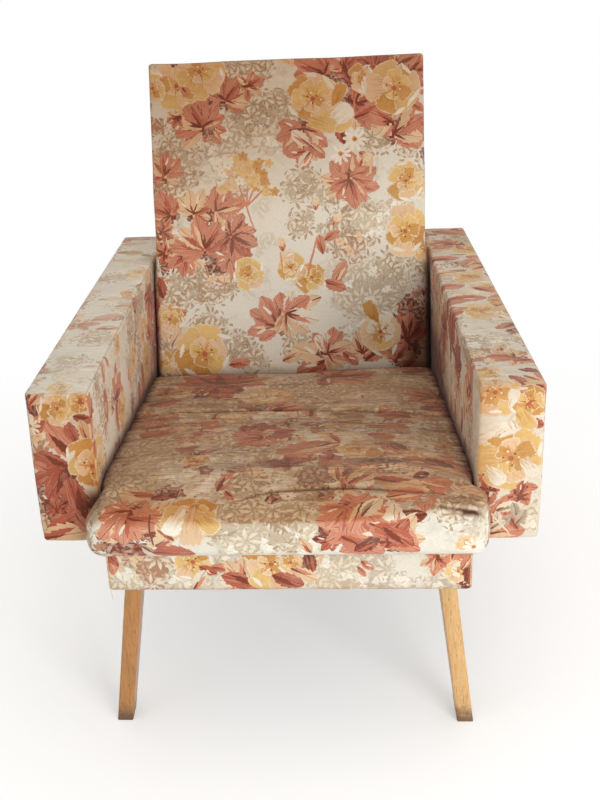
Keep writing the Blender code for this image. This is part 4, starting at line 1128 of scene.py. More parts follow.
def build_back():
    sizes = settings("back")
    half, tall, thick = sizes.width / 2, sizes.height, sizes.thickness
    spans = ((-half, half), (0, tall), (-thick, 0))
    mesh, flat = cloth_block("back_upholstery", *(grid_lines(*span, sizes.cell) for span in spans))
    print_cloth(mesh, 11, BACK_SCATTER, BACK_PRINT)
    r = sizes.edge_radius
    co = rounded(flat, (-half, 0, -thick), (half, tall, 0), (r, r, r), (r, r, r))
    s, t, z = flat.T
    x, up, outward = s / half, t / tall, np.sign(s)
    rear = smoothstep(-0.06, -0.08, z)
    dome = np.clip(1 - x ** 4, 0, 1) * np.clip(1 - (2 * up - 1) ** 4, 0, 1)
    wave = ripples(3, s * 9, t * 9)
    co[:, 2] += smoothstep(-0.02, 0.0, z) * (sizes.crown * dome + 0.0010 * wave + 0.00035 * ripples(4, s * 30, t * 42))
    co[:, 2] -= rear * (0.0015 * dome + 0.0006 * wave)
    # Swollen edges, which never go inside the foam
    co[:, 0] += outward * bell(half - np.abs(s), 0.02) * (0.0002 + 0.0008 * ripples(5, 0, t * 14, z * 14, 30))
    co[:, 1] += smoothstep(tall - 0.03, tall, t) * (0.0002 + 0.0011 * ripples(6, s * 11, 0, z * 11, 30))
    # Between the arms the padding swells out until it nearly touches them
    beside = smoothstep(0.235, 0.185, t) * smoothstep(0.0, -0.02, z)
    co[:, 0] += outward * 0.0068 * beside * smoothstep(0.9, 1.0, np.abs(x)) - 0.0005 * up * (1 - beside)
    # The narrow line where the front panel is sewn to the top strip
    sewn = bell(t - tall, 0.0015) * bell(z + 0.0044, 0.0020)
    co[:, 1] -= 0.0012 * sewn
    move_points(mesh, co)
    # Painted shade on the seam, at the foot, over the upper back, in the right arm's shadow and beside the arms
    head = smoothstep(0.22, 0.60, t - 0.10 * x) * (1 - rear)
    foot = smoothstep(0.06, 0.0, t)
    deep_corner = smoothstep(0.89, 1.09, x + 0.22 * smoothstep(0.22, -0.02, t)) * smoothstep(0.34, 0.16, t)
    shadow = 0.95 * sewn + 0.45 * smoothstep(0.03, 0.0, t) + 0.26 * smoothstep(0.28, 0.50, t) + 0.92 * deep_corner
    shadow += 0.8 * beside * (np.abs(x) > 0.985)
    wear_and_shade(mesh, soil=0.03 + 0.13 * smoothstep(0.12, 0.26, t) + 0.62 * head + 0.3 * foot + 0.25 * rear,
         shade=np.clip(shadow, 0, 1) * (1 - rear), slack=0.06 + 0.1 * rear)
    turn = Matrix.Rotation(math.radians(90) - sizes.lean, 4, "X")
    mesh.transform(Matrix.Translation((0, sizes.foot_y, sizes.foot_z)) @ turn)
    obj = piece(mesh, "floral_cotton", "back_cover")


# The arms

ARM_PRINTS = {"left": (LEFT_ARM_INNER_PRINT, LEFT_ARM_TOP_PRINT, LEFT_ARM_FRONT_PRINT),
              "right": (RIGHT_ARM_INNER_PRINT, RIGHT_ARM_TOP_PRINT, RIGHT_ARM_FRONT_PRINT)}
# Dirt on the top, and painted shade as brown dirt on the inner wall and in front; bleach on the top; painted shade in
# front, in the far corner and in the hollow of the front; reach of the painted dark line of shade along the seat
ARM_WEAR_AND_SHADE = {"left": (0.06, 0.3, 0.45, 0.42, 0.08, 0.135, 0.95, 0.012),
            "right": (0.30, 0.5, 0.18, 0.12, 0.02, 0.9, 0.0, 0.020)}


def build_arm(side_name, side):
    sizes = settings("arms")
    low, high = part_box("arm_cover_" + side_name)
    thick, deep, tall = high - low
    half = thick / 2
    spans = ((-half, half), (0, deep), (-tall, 0))
    mesh, flat = cloth_block("arm_upholstery_" + side_name, *(grid_lines(*span, sizes.cell) for span in spans))
    outer_wall = sorted((side * (half + 0.01), side * (half + tall)))
    inner_wall = sorted((-side * (half + 0.01), -side * (half + tall)))
    near = ((0.0, 0.35), 0.09) if side < 0 else ((0.10, 0.35), 0.07)
    scattered = ((outer_wall, (0.0, deep)), (inner_wall, (0.35, deep)), ((-half, half), (deep, deep + tall)),
                 ((HIDDEN_FACE - half, HIDDEN_FACE + half), (0, deep), 0.07), (inner_wall, *near))
    print_cloth(mesh, 21 + side, scattered, *ARM_PRINTS[side_name])
    r = sizes.edge_radius
    co = rounded(flat, (-half, 0, -tall), (half, deep, 0), (r, r, r), (r, r, r))
    s, y, z = flat.T
    x, outward = s / half, np.sign(s)
    before, top, crowned = smoothstep(0.004, 0.0, y), smoothstep(-0.02, 0.0, z), np.clip(1 - x ** 4, 0, 1)
    on_top = crowned * smoothstep(0, 0.03, y) * smoothstep(deep, deep - 0.03, y)
    broken = np.abs(ripples(35 + side, s * 34, y * 62))
    slack = 0.5 * ripples(33 + side, s * 60, y * 120) - 1.1 * smoothstep(0.22, 0.0, broken)
    co[:, 2] += top * on_top * (sizes.crown + 0.0009 * ripples(31 + side, s * 14, y * 10))
    co[:, 2] += top * sizes.wrinkle * slack * (0.35 + 0.65 * on_top)
    wall = smoothstep(0.7, 1.0, np.abs(x)) * smoothstep(0, -0.03, z) * smoothstep(-tall, -tall + 0.03, z)
    wall = wall * np.where(x * side > 0, 1.0, 0.35)
    co[:, 0] += outward * wall * (0.0006 + 0.0011 * ripples(41 + side, outward * 3, y * 26, z * 7))
    co[:, 1] -= smoothstep(0.02, 0.0, y) * crowned * (0.0012 + 0.0008 * ripples(45, x * 1.2, 0, z * 12))
    co[:, 2] -= smoothstep(-tall + 0.06, -tall, z) * 0.0016 * (1 + ripples(47 + side, 0, y * 16))
    move_points(mesh, co)
    top_soil, wall_soil, front_soil, bleach, front_shade, corner_shade, hollow_shade, seat_line = ARM_WEAR_AND_SHADE[side_name]
    # Painted shade low and deep on the inner wall, in its far corner and in a line along the seat
    inner = smoothstep(0.3, 1.0, -side * x)
    low_inside = inner * smoothstep(-0.10, -tall * 0.85, z)
    deep_inside = inner * smoothstep(0.15, 0.52, y) * smoothstep(-0.03, -0.15, z)
    far_corner = inner * smoothstep(0.24, 0.47, y) * smoothstep(-0.02, -0.17, z)
    above_seat = np.maximum(z + high.z - settings("seat").front_height + settings("seat").slope * y, 0)
    touching = inner * bell(above_seat, seat_line) * smoothstep(-0.01, 0.03, y)
    hollow = bell(s - 0.034, 0.014) * bell(z + 0.172, 0.018) * before
    # Painted shade also along the top inner edge, in front and in the front's hollow under the cushion
    shadow = 0.1 * low_inside + 0.16 * deep_inside + 0.8 * touching + 0.4 * bell(np.hypot(half - np.abs(s), z), 0.0022)
    shadow += corner_shade * far_corner + front_shade * before + hollow_shade * hollow
    # The brown on the inner wall and in front is painted shade; on the top it is dirt
    wear_and_shade(mesh, soil=0.10 + top_soil * top + 0.3 * low_inside + wall_soil * inner * smoothstep(0.0, -0.01, z)
         + front_soil * before, shade=np.clip(shadow, 0, 1), slack=0.10 + 0.45 * top,
         bleach=bleach * smoothstep(-0.004, 0.0, z))
    mesh.transform(Matrix.Translation(((low.x + high.x) / 2, low.y, high.z)))
    obj = piece(mesh, "floral_cotton", "arm_cover_" + side_name)


# The seat. Its Y counts from the arms' fronts

# Where the side rails begin, their length, the height of their top in front and its fall to the rear
RAIL_FRONT, RAIL_LENGTH = 0.0128, 0.5904
RAIL_TOP, RAIL_FALL = 0.367, 0.0531
SEAT_SCATTER = (((-0.37, -0.28), (-0.04, 0.52)), ((0.28, 0.37), (-0.04, 0.52)), ((-0.26, 0.26), (0.53, 0.56)),
                ((1.74, 2.26), (-0.04, 0.52), 0.08), ((-0.26, 0.26), (-0.02, 0.5), 0.075),
                ((-0.26, 0.26), (-0.01, 0.5), 0.055, 1))
# Creases of the unfolded cotton, in millimetres: depth and width in tenths, then the points of the path
SEAT_CREASES = """
    46 50: -261 280, -204 278, -138 282, -64 284, 20 281, 100 268, 173 254, 262 250; 18 35: -250 215, -160 225, -50 224;
    18 40: -262 165, -200 180, -120 185; 20 35: 30 225, 130 205, 250 170; 18 35: 50 175, 140 165, 250 120;
    36 30: -77 -58, -64 -41, -37 -27, -7 -20, 29 -19, 64 -17, 94 -18, 130 -22, 160 -27, 191 -32, 217 -41, 244 -55;
    18 26: -12 -37, 24 -42, 55 -43, 80 -51; 42 28: 182 -62, 213 -69, 229 -73, 241 -77, 260 -87;
    22 30: 205 -56, 230 -62, 260 -70; 22 45: -50 52, 20 60, 100 58; 16 40: -200 75, -100 85, 20 95
"""
# A point of the unfolded cotton, its reach along and across, how much painted shade it gets and how far it sinks
SEAT_DENTS = (
    ((0.231, -0.076), (0.0105, 0.0050), 0.95, 0.0085),
    ((0.187, -0.092), (0.0100, 0.0130), 0.16, 0.0018),
    ((0.205, -0.045), (0.0400, 0.0100), 0.10, 0.0015),
    ((-0.252, -0.080), (0.0060, 0.0160), 0.25, 0.0020),
)


def seat_creases():
    """The path, the depth and the width of each crease in metres."""
    for crease in SEAT_CREASES.split(";"):
        size, path = crease.split(":")
        depth, width = (int(number) / 10000 for number in size.split())
        yield [[int(number) / 1000 for number in point.split()] for point in path.split(",")], depth, width


def crease(co, path, depth, width, rise=0.35):
    """How far points sink for one crease along a path: a sharp line with a soft rise beside it."""
    nearest, fade = np.full(len(co), 1e9), np.zeros(len(co))
    path = np.array(path)
    sizes = np.linalg.norm(np.diff(path, axis=0), axis=1)
    for a, b, size, run in zip(path[:-1], path[1:], sizes, np.cumsum(sizes) - sizes):
        t = np.clip((co - a) @ (b - a) / size ** 2, 0, 1)
        gap = np.linalg.norm(co - a - t[:, None] * (b - a), axis=1)
        part = np.clip((run + t * size) / sizes.sum(), 0.02, 0.98)
        fade = np.where(gap < nearest, np.sin(np.pi * part) ** 0.5, fade)
        nearest = np.minimum(nearest, gap)
    return depth * (rise * bell(nearest - 0.01, 0.02 / 2.6) - bell(nearest, width)) * fade


def rail_top(y):
    """Height of the side rails' raked top edge."""
    return RAIL_TOP - RAIL_FALL * np.clip((y - RAIL_FRONT) / RAIL_LENGTH, 0, 1)


def upper_part(lift):
    return smoothstep(0.6, 0.98, lift)


def wrinkles_of(x, y):
    """Heights of the wrinkles that run across the seat."""
    return 0.0018 * ripples(51, x * 7, y * 75 + 6 * x) + 0.0009 * ripples(52, x * 16, y * 170 - 5 * x)


def shape_seat_cover(body, normals, spread, over, lift, rear):
    """The creases, the knotted corner and the wavy rear edge of the worn seat. spread is the unfolded cotton."""
    co = body.copy()
    x, y, z = body.T
    sink = sum(crease(spread, *line) for line in seat_creases())
    for at, reach, _dark, deep in SEAT_DENTS:
        sink -= deep * np.exp(-(((spread - at) / reach) ** 2).sum(1))
    co += (over * sink)[:, None] * normals
    knots = smoothstep(-0.235, -0.272, x) * smoothstep(0.0, -0.03, y) * ripples(53, x * 60, y * 60, z * 75)
    nose = smoothstep(0.0, -0.035, y) * smoothstep(0.0, 0.25, lift)
    co[:, 0] += 0.0025 * knots
    co[:, 1] -= 0.0030 * knots + 0.0016 * nose * ripples(54, x * 11, 0, z * 9)
    co[:, 2] += smoothstep(0.7, 0.98, lift) * smoothstep(-0.03, 0.03, y) * wrinkles_of(x, y)
    co[:, 2] += 0.0020 * smoothstep(rear - 0.02, rear, y) * ripples(55, x * 14, 0)
    return co


def build_seat():
    sizes = settings("seat")
    half, nose_half, thick, bottom = sizes.body_width / 2, sizes.nose_width / 2, sizes.thickness, SEAT_LOW.z
    front, rear = SEAT_LOW.y - FRONT_Y, SEAT_HIGH.y - FRONT_Y
    mesh, flat = cloth_block("seat_upholstery", grid_lines(-half, half, sizes.cell),
                             graded_lines(front, rear, sizes.cell, (-0.005, 0.045, 2.2), (0.275, 0.022, 2.6)),
                             graded_lines(0, thick, sizes.cell, (thick - 0.025, 0.02, 2.0)))
    print_cloth(mesh, 37, SEAT_SCATTER, SEAT_TOP_PRINT, SEAT_NOSE_PRINT)

    # The stuffed shape: round edges, a nose that swells before the arms, and a raked top
    on_face = flat[:, 1] < front + 1e-6
    spread = np.stack([flat[:, 0], flat[:, 1] - np.where(on_face, thick - flat[:, 2], 0)], 1)
    nose = smoothstep(0.06, -0.01, flat[:, 1])
    side_r, top_r, low_r = 0.010 + 0.007 * nose, 0.011 + 0.034 * nose, 0.002 + 0.018 * nose
    front_r = 0.024 + 0.024 * smoothstep(0.3, 0.9, flat[:, 2] / thick)
    co = rounded(flat, (-half, front, 0), (half, rear, thick), (side_r, front_r, low_r), (side_r, 0.012, top_r))
    for side, radius in ((-1, 0.020), (1, 0.038)):
        round_corner(co, radius, (0, side, half), (1, 1, rear))
    x, y, lift = co[:, 0], co[:, 1], co[:, 2] / thick
    across = np.abs(x)
    shoulder = np.where(x < 0, smoothstep(0.98, 0.48, lift), smoothstep(1.0, 0.85, lift))
    flare = half + (nose_half - half) * smoothstep(0.004, -0.018, y) * shoulder
    flare -= 0.004 * smoothstep(0.35, 0.0, lift) * nose
    over_rail = (across > sizes.well_width / 2) & (y > RAIL_FRONT)
    floor = np.where(over_rail, rail_top(y) + 0.0006, bottom)
    middle, depth = np.clip(1 - (x / half) ** 2, 0, 1), np.clip(y / rear, 0, 1)
    top = sizes.front_height - sizes.slope * y + 0.0045 * smoothstep(-0.1, half, x)
    top += middle * (0.003 * np.sin(np.pi * depth) - 0.007 * bell(depth - 0.55, 0.25))
    start = np.stack([x * flare / half, y, floor + lift * (top - floor)], 1)
    move_points(mesh, start)

    # The filling presses against cotton that is cut too long
    cut = start.copy()
    cut[:, 1] = rear - (rear - y) * (1 + sizes.slack * smoothstep(0.55, 0.9, lift))
    held = np.where((lift < 0.25) | (y > rear - 0.006), 1.0, np.where((across > half - 0.004) & (y > 0.0), 0.85, 0.0))
    body = pressed(mesh, start, held, cut)
    move_points(mesh, body)

    # Creases, then limits that keep the cover before, between and above the frame
    over = np.where(on_face, smoothstep(0.3, 0.5, lift), smoothstep(0.7, 0.98, lift))
    co = shape_seat_cover(body, fields_of(mesh.vertices, "normal", width=3), spread, over, lift, rear)
    co[:, 1] = np.clip(co[:, 1], front, rear)
    co[:, 2] += 0.004 * smoothstep(0.0, half, x) * smoothstep(0.3, rear, y) * upper_part(lift)
    limit = np.where(co[:, 1] > 0.008, half, np.where(co[:, 1] > -0.0012, half + 0.0001, nose_half))
    co[:, 0] = np.clip(co[:, 0], -limit, limit)
    co[:, 2] = np.maximum(co[:, 2], np.where(over_rail, floor, bottom))
    move_points(mesh, co)

    # Brown on top, dirt and painted shade, down to a ragged line on the face; painted shade in each gap and crease
    s, t = spread.T
    brow = -0.084 + 0.017 * smoothstep(0.10, 0.22, s) + 0.0015 * ripples(56, s * 30, 0)
    blur = 0.0022 + 0.011 * smoothstep(0.08, 0.20, s) + 0.008 * smoothstep(-0.06, -0.16, s)
    soil = np.clip(0.02 + 0.92 * smoothstep(-1, 1, (t - brow) / blur), 0.02, 1)
    side_walls = (np.abs(flat[:, 0]) > half - 1e-6) & ~on_face
    shadow = 0.85 * smoothstep(half - 0.016, half, across) * smoothstep(0.0, 0.03, y)
    shadow += 0.6 * smoothstep(0.10, 0.0, np.hypot(np.minimum(half - x, 0.2), (rear - y) * 0.8))
    shadow += 0.5 * smoothstep(rear - 0.02, rear, y)
    for path, deep, width in seat_creases():
        shadow -= np.clip(190 * deep, 0.3, 0.8) * crease(spread, path, 1.0, 0.55 * width + 0.0009, rise=0.0) * over
    for at, reach, dark, _sink in SEAT_DENTS:
        shadow += dark * np.exp(-(((spread - at) / reach) ** 2).sum(1)) * over
    shadow += 0.17 * smoothstep(brow - 0.004, brow + 0.02, t) * smoothstep(0.02, -0.03, t)
    shadow += 0.7 * smoothstep(0.012 - half, -half, x) * smoothstep(0.03, 0.0, y) * smoothstep(0.5, 0.9, lift)
    shadow += 0.3 * smoothstep(0.0, -0.0019, wrinkles_of(body[:, 0], body[:, 1])) * smoothstep(-0.03, 0.03, y) * over
    wear_and_shade(mesh, soil=soil * np.where(side_walls, smoothstep(0.2, 0.6, lift), 1), shade=np.clip(shadow, 0, 1),
         slack=0.15 + 0.85 * smoothstep(0.6, 0.95, lift) * smoothstep(-0.04, 0.02, y),
         bleach=0.20 * smoothstep(-0.05, 0.03, y) * upper_part(lift))
    bm = bmesh.new()
    bm.from_mesh(mesh)
    bmesh.ops.remove_doubles(bm, verts=bm.verts[:], dist=2e-6)
    bmesh.ops.dissolve_degenerate(bm, dist=2e-6, edges=bm.edges[:])
    bm.to_mesh(mesh)
    bm.free()
    mesh.transform(Matrix.Translation((0, FRONT_Y, 0)))
    obj = piece(mesh, "floral_cotton", "seat_cover", "seat_pad")


# The base

# Height in front and behind, and of the cloth before it is folded
BAND_HEIGHT = 0.064
BAND_SCATTER = (((0.27, 0.90), (0.0, 0.11)), ((-0.90, -0.27), (0.0, 0.11)), ((1.74, 2.26), (0.0, 0.07)))


def build_band():
    sizes = settings("base")
    half, deep, tall = BAND_HIGH.x - 0.0003, BAND_HIGH.y - BAND_LOW.y, BAND_HEIGHT
    mesh, flat = cloth_block("base_band_cloth", grid_lines(-half, half, sizes.cell),
                             grid_lines(0, tall, sizes.cell, 0.0018), grid_lines(-deep, 0, sizes.cell))
    bm = bmesh.new()
    bm.from_mesh(mesh)
    gone = []
    for face in bm.faces:
        centre = face.calc_center_median()
        inset = min(half - abs(centre.x), -centre.z, deep + centre.z)
        if centre.y > tall - 1e-6 or (centre.y < 1e-6 and inset > sizes.turn_in):
            gone.append(face)
    bmesh.ops.delete(bm, geom=gone, context="FACES")
    bm.to_mesh(mesh)
    bm.free()
    flat = points_of(mesh)
    print_cloth(mesh, 61, BAND_SCATTER, BAND_PRINT)
    co = rounded(flat, (-half, 0, -deep), (half, tall, 0), (0.0, 0.002, 0.0), (0.0, 0.0, 0.0))
    for side in (-1, 1):
        for way, reach in ((1, 0.0), (-1, deep)):
            round_corner(co, sizes.corner_radius, (0, side, half), (2, way, reach))
    # Along the sides the band reaches up to the rails' raked top
    back = BAND_LOW.y - FRONT_Y - co[:, 2]
    side_wall = smoothstep(half - 0.004, half - 0.001, np.abs(flat[:, 0]))
    lifted = (rail_top(back) - BAND_LOW.z) * smoothstep(0.016, 0.03, back) * smoothstep(0.604, 0.595, back)
    up = flat[:, 1] / tall
    wall = smoothstep(0.0, 0.1, up)
    co[:, 1] = np.where(up > 0.05, up * np.maximum(tall, lifted * side_wall), co[:, 1])
    wave = ripples(62, co[:, 0] * 16, up * 1.5, co[:, 2] * 16, 40)
    co[:, 2] += np.where(co[:, 2] > -0.004, 0.0006 * (1 + wave) * wall * (1 - side_wall), 0)
    co[:, 1] -= (1 - wall) * 0.0005 * ripples(63, co[:, 0] * 40, 0, co[:, 2] * 40, 40)
    move_points(mesh, co)
    # Painted shade at the band's top under the seat and higher up its side walls
    wear_and_shade(mesh, soil=0.08 + 0.15 * smoothstep(0.35, 0.0, up) + 0.45 * (1 - wall),
         shade=0.25 * smoothstep(0.85, 1.0, up) + 0.4 * smoothstep(0.6, 1.0, up) * side_wall, slack=0.12)
    mesh.transform(Matrix.Translation((0, BAND_LOW.y, BAND_LOW.z)) @ Matrix.Rotation(math.radians(90), 4, "X"))
    obj = piece(mesh, "floral_cotton", "base_band")
    thicken(obj, sizes.cloth, -1)


def build_dust_cloth():
    """The sheet that closes the bottom, cut out round the legs, and the staples that hold it."""
    sizes = settings("base")
    low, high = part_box("dust_cloth")
    half_x, half_y, centre_y = high.x + 0.006, (high.y - low.y) / 2 + 0.006, (high.y + low.y) / 2
    bm = bmesh.new()
    bmesh.ops.create_grid(bm, x_segments=92, y_segments=110, size=1.0)
    bmesh.ops.scale(bm, vec=(half_x, half_y, 1.0), verts=bm.verts)
    bmesh.ops.translate(bm, vec=(0, centre_y, 0), verts=bm.verts)
    notches = [near - 0.004 for near in (FRONT_Y + RAIL_FRONT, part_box("leg_rear_right")[0].y)]
    centres = [(face, face.calc_center_median()) for face in bm.faces]
    gone = [face for face, at in centres if abs(at.x) > 0.2135 and any(y < at.y < y + 0.058 for y in notches)]
    bmesh.ops.delete(bm, geom=gone, context="FACES")
    area = sum(face.calc_area() for face in bm.faces)
    mesh = mesh_from(bm, "dust_cloth_sheet")
    x, y, _ = points_of(mesh).T
    u, v = x / half_x, (y - centre_y) / half_y
    middle = np.clip(1 - u ** 2, 0, 1) * np.clip(1 - v ** 2, 0, 1)
    pulls = sum(np.abs(np.sin(np.pi * run / sizes.staple_pitch)) * bell(1 - np.abs(off), 0.06)
                for run, off in ((x, v), (y, u)))
    waves = 0.0012 * (ripples(71, x * 15, y * 15, start=40) + 1)
    z = low.z - 0.0015 - sizes.sag * middle ** 0.8 - waves * middle ** 0.3 - 0.0007 * pulls
    move_points(mesh, np.stack([x, y, z], 1))
    mesh.flip_normals()
    put_cloth_map(mesh, np.stack([x, y], 1)[fields_of(mesh.loops, "vertex_index", np.int32)])
    obj = piece(mesh, "dust_cloth", "dust_cloth")
    thicken(obj, 0.0005, 0)

    random = np.random.default_rng(73)
    bm = bmesh.new()
    inset, spots = 0.004, []
    for x in np.arange(-half_x + 0.03, half_x - 0.02, sizes.staple_pitch):
        spots += [(x, centre_y - half_y + inset, 0.0), (x, centre_y + half_y - inset, 0.0)]
    for y in np.arange(centre_y - half_y + 0.09, centre_y + half_y - 0.08, sizes.staple_pitch):
        spots += [(half_x - inset, y, math.pi / 2), (-half_x + inset, y, math.pi / 2)]
    for x, y, turn in spots:
        turned = Matrix.Rotation(turn + random.uniform(-0.35, 0.35), 4, "Z")
        where = Matrix.Translation((x, y, low.z - 0.0025)) @ turned @ Matrix.Diagonal((0.0105, 0.0012, 0.0007, 1.0))
        bmesh.ops.create_cube(bm, size=1.0, matrix=where)
    bevelled(bm, bm.edges[:], 0.00025, 1)
    piece(mesh_from(bm, "dust_cloth_staples"), "dull_steel")


def build_loose_thread():
    """The frayed thread that hangs from the band's front left corner."""
    curve = bpy.data.curves.new("loose_thread", "CURVE")
    curve.dimensions = "3D"
    curve.bevel_depth = 0.00045
    curve.bevel_resolution = 1
    curve.use_fill_caps = True
    line = curve.splines.new("NURBS")
    corner = Vector((BAND_LOW.x + 0.003, BAND_LOW.y + 0.0012, BAND_LOW.z + 0.002))
    steps = ((0, 0, 0), (0.0005, -0.001, -0.004), (0.0022, -0.0016, -0.009), (0.0012, -0.001, -0.014),
             (0.0024, 0.0, -0.019))
    line.points.add(len(steps) - 1)
    for point, step in zip(line.points, steps):
        point.co = (*(corner + Vector(step)), 1.0)
    line.use_endpoint_u = True
    shaper = linked("thread_shape", curve)
    mesh = bpy.data.meshes.new_from_object(shaper.evaluated_get(bpy.context.evaluated_depsgraph_get()))
    bpy.data.objects.remove(shaper)
    mesh.name = "loose_thread"
    mesh.materials.clear()
    piece(mesh, "floral_cotton", look="cotton_thread")


# The legs

# Height at which a leg begins to lean, and its width there
KNEE = 0.2375
LEG_WIDTH = 0.025


def build_leg(end, side_name, side):
    """A worn leg: upright above the knee, and leaning and narrower below it."""
    name = f"leg_{end}_{side_name}"
    low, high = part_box(name)
    top_y, foot_y = (low.y + 0.021, low.y) if end == "front" else (low.y, high.y - 0.032)
    bm = bmesh.new()
    bmesh.ops.create_cube(bm, size=1.0)
    bmesh.ops.translate(bm, vec=(0.5, 0.5, 0.5), verts=bm.verts)

    def rising(least):
        return [e for e in bm.edges if abs(e.verts[0].co.z - e.verts[1].co.z) > least]

    bmesh.ops.subdivide_edges(bm, edges=rising(0.9), cuts=1)
    for vert in bm.verts:
        if 0.3 < vert.co.z < 0.7:
            vert.co.z = KNEE / high.z
    upright = [e for e in bm.edges if abs((e.verts[1].co - e.verts[0].co).normalized().z) > 0.9]
    bevelled(bm, upright, settings("wood").edge / LEG_WIDTH, 3)
    bevelled(bm, [e for e in bm.edges if max(vert.co.z for vert in e.verts) < 1e-5], 0.006, 2)
    bmesh.ops.subdivide_edges(bm, edges=rising(0.5), cuts=40)
    mesh = mesh_from(bm, name + "_worn")
    u, v, z = (points_of(mesh) * (1, 1, high.z)).T
    down = np.clip((KNEE - z) / KNEE, 0, 1)
    outer = (high.x if side > 0 else -low.x) - 0.029 * (1 - down)
    x = outer - (LEG_WIDTH - 0.001 * down) * (1 - u)
    y = top_y + (foot_y - top_y) * down + (0.050 - 0.018 * down) * v
    dents = ripples(81, x * 90, y * 90, z * 60, 30)
    x = x - 0.0003 * np.clip(dents, 0, 1)
    y = y + 0.0004 * np.clip(-dents, 0, 1) * (1 - 2 * v)
    if side < 0:
        mesh.flip_normals()
    move_points(mesh, np.stack([side * x, y, z], 1))
    # The front right leg takes the lighter copy of the beech, as painted light
    light = "_painted_lit" if (end, side) == ("front", 1) else ""
    piece(mesh, "varnished_beech", name, look="varnished_beech" + light)


# The studio

WHITE = (1.0, 1.0, 1.0, 1.0)
FLOOR_GLOW = 0.38
# Where the floor begins to turn white and where it is white
WHITE_FROM, WHITE_AT = 0.5, 1.4
CAMERA_PLACE = (0.0545, -1.5793, 1.1002)
CAMERA_RIGHT, CAMERA_UP = (0.99746, 0.05538, -0.04489), (0.02226, 0.35629, 0.93411)
CAMERA_SHIFT = (0.0589, -0.0916)
# Where each lamp stands, where it points, its width and its share of the key's power
LAMPS = {"key": ((1.45, -2.35, 0.9), (0.0, 0.0, 0.40), 1.3, 1.0),
         "side": ((-2.6, -1.6, 1.3), (0.0, 0.0, 0.4), 1.8, 0.12),
         "overhead": ((0.0, 0.2, 3.2), (0.0, 0.0, 0.0), 2.6, 0.36)}


def seen_rays(tree):
    """1 where the camera, a mirror or glass looks, and 0 for light that falls on the chair."""
    rays = node("LightPath", tree=tree).outputs
    camera, glossy, through = (Wire(rays[f"Is {kind} Ray"]) for kind in ("Camera", "Glossy", "Transmission"))
    return maths("MAXIMUM", camera, maths("MAXIMUM", glossy, through))


def build_floor():
    """A pale floor that keeps the chair's shadow and turns white further away."""
    bm = bmesh.new()
    bmesh.ops.create_circle(bm, cap_ends=True, radius=settings("studio").floor_radius, segments=96)
    mesh = mesh_from(bm, "floor")
    linked("floor", mesh)
    tree, shader = surface("pale_floor")
    plug(shader, (("Base Color", (*srgb(226, 225, 223), 1.0)), ("Roughness", 0.85)))
    seen = seen_rays(tree)
    glow = node("Emission", WHITE, seen * FLOOR_GLOW)
    lit = node("AddShader", Wire(shader.outputs[0]), Wire(glow.outputs[0]))
    white = node("Emission", WHITE, 1.0, tree=tree)
    faded = seen * stepped(vector_maths("LENGTH", object_place(tree)), WHITE_FROM, WHITE_AT)
    both = node("MixShader", faded, Wire(lit.outputs[0]), Wire(white.outputs[0]))
    plug(tree.nodes["Material Output"], ((0, Wire(both.outputs[0])),))
    mesh.materials.append(LOOKS["pale_floor"])


def build_studio():
    sizes = settings("studio")
    scene = bpy.context.scene
    build_floor()
    scene.world = bpy.data.worlds.new("studio")
    scene.world.use_nodes = True
    tree = scene.world.node_tree
    strength = node("MapRange", seen_rays(tree), 0.0, 1.0, sizes.fill, 1.0).outputs[0]
    plug(tree.nodes["Background"], (("Color", WHITE), ("Strength", Wire(strength))))
    for name, (at, towards, width, part) in LAMPS.items():
        lamp = bpy.data.lights.new(name, "AREA")
        lamp.size = width
        lamp.energy = part * sizes.key
        obj = linked(name, lamp)
        obj.location = at
        obj.rotation_euler = (Vector(towards) - Vector(at)).to_track_quat("-Z", "Y").to_euler()
    lens = bpy.data.cameras.new("camera")
    lens.lens, lens.sensor_width = sizes.focal, 36.0
    lens.shift_x, lens.shift_y = CAMERA_SHIFT
    scene.camera = linked("camera", lens)
    right, up = Vector(CAMERA_RIGHT), Vector(CAMERA_UP)
    turned = Matrix((right, up, right.cross(up))).transposed().to_4x4()
    scene.camera.matrix_world = Matrix.Translation(CAMERA_PLACE) @ turned
    scene.view_settings.view_transform = "Standard"


# Operators


class ARMCHAIR_OT_studio(bpy.types.Operator):
    """Make the floor, the lamps and the camera"""

    bl_idname = "armchair.studio"
    bl_label = "Studio"

    def execute(self, context):
        build_studio()
        return {"FINISHED"}


class ARMCHAIR_OT_materials(bpy.types.Operator):
    """Make the cloths, woods and metals, and give the frame its finishes"""

    bl_idname = "armchair.materials"
    bl_label = "Materials and frame"

    def execute(self, context):
        make_materials()
        finish_frame()
        return {"FINISHED"}


class ARMCHAIR_OT_back(bpy.types.Operator):
    """Make the padded back's cover"""

    bl_idname = "armchair.back"
    bl_label = "Back"

    def execute(self, context):
        build_back()
        return {"FINISHED"}


class ARMCHAIR_OT_arms(bpy.types.Operator):
    """Make the covers of both arms"""

    bl_idname = "armchair.arms"
    bl_label = "Arms"

    def execute(self, context):
        for side_name, side in SIDES:
            build_arm(side_name, side)
        return {"FINISHED"}


class ARMCHAIR_OT_seat(bpy.types.Operator):
    """Make the seat's loose, worn cover"""

    bl_idname = "armchair.seat"
    bl_label = "Seat"

    def execute(self, context):
        build_seat()
        return {"FINISHED"}


class ARMCHAIR_OT_base(bpy.types.Operator):
    """Make the band round the base, the dust cloth, its staples and the loose thread"""

    bl_idname = "armchair.base"
    bl_label = "Base"

    def execute(self, context):
        build_band()
        build_dust_cloth()
        build_loose_thread()
        return {"FINISHED"}


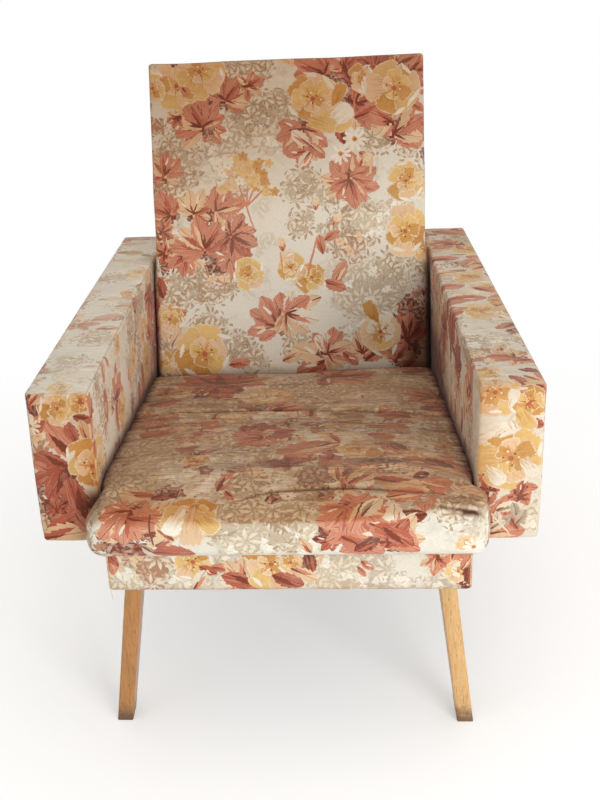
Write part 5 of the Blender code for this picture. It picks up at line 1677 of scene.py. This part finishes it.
class ARMCHAIR_OT_legs(bpy.types.Operator):
    """Make the four worn legs"""

    bl_idname = "armchair.legs"
    bl_label = "Legs"

    def execute(self, context):
        for end in ("front", "rear"):
            for side_name, side in SIDES:
                build_leg(end, side_name, side)
        return {"FINISHED"}


GROUPS = (
    ("cloth", "Cloth and print", ARMCHAIR_PG_cloth),
    ("back", "Back", ARMCHAIR_PG_back),
    ("arms", "Arms", ARMCHAIR_PG_arms),
    ("seat", "Seat", ARMCHAIR_PG_seat),
    ("base", "Base", ARMCHAIR_PG_base),
    ("wood", "Legs", ARMCHAIR_PG_wood),
    ("studio", "Studio", ARMCHAIR_PG_studio),
)
OPERATORS = (ARMCHAIR_OT_studio, ARMCHAIR_OT_materials, ARMCHAIR_OT_back, ARMCHAIR_OT_arms, ARMCHAIR_OT_seat,
             ARMCHAIR_OT_base, ARMCHAIR_OT_legs)


class ARMCHAIR_PT_panel(bpy.types.Panel):
    """The armchair's sizes, colours and building steps"""

    bl_idname = "ARMCHAIR_PT_panel"
    bl_label = "Armchair"
    bl_space_type = "VIEW_3D"
    bl_region_type = "UI"
    bl_category = "Armchair"

    def draw(self, context):
        for name, label, group in GROUPS:
            box = self.layout.box()
            box.label(text=label)
            for prop in group.__annotations__:
                box.prop(settings(name), prop)
        for operator in OPERATORS:
            self.layout.operator(operator.bl_idname)


def register():
    for name, _label, group in GROUPS:
        bpy.utils.register_class(group)
        setattr(bpy.types.Scene, "armchair_" + name, bpy.props.PointerProperty(type=group))
    for cls in (*OPERATORS, ARMCHAIR_PT_panel):
        bpy.utils.register_class(cls)


def unregister():
    for cls in (ARMCHAIR_PT_panel, *reversed(OPERATORS)):
        bpy.utils.unregister_class(cls)
    for name, _label, group in reversed(GROUPS):
        delattr(bpy.types.Scene, "armchair_" + name)
        bpy.utils.unregister_class(group)


def main():
    register()
    bpy.ops.armchair.studio()
    bpy.ops.armchair.materials()
    bpy.ops.armchair.back()
    bpy.ops.armchair.arms()
    bpy.ops.armchair.seat()
    bpy.ops.armchair.base()
    bpy.ops.armchair.legs()


if __name__ == "__main__":
    main()
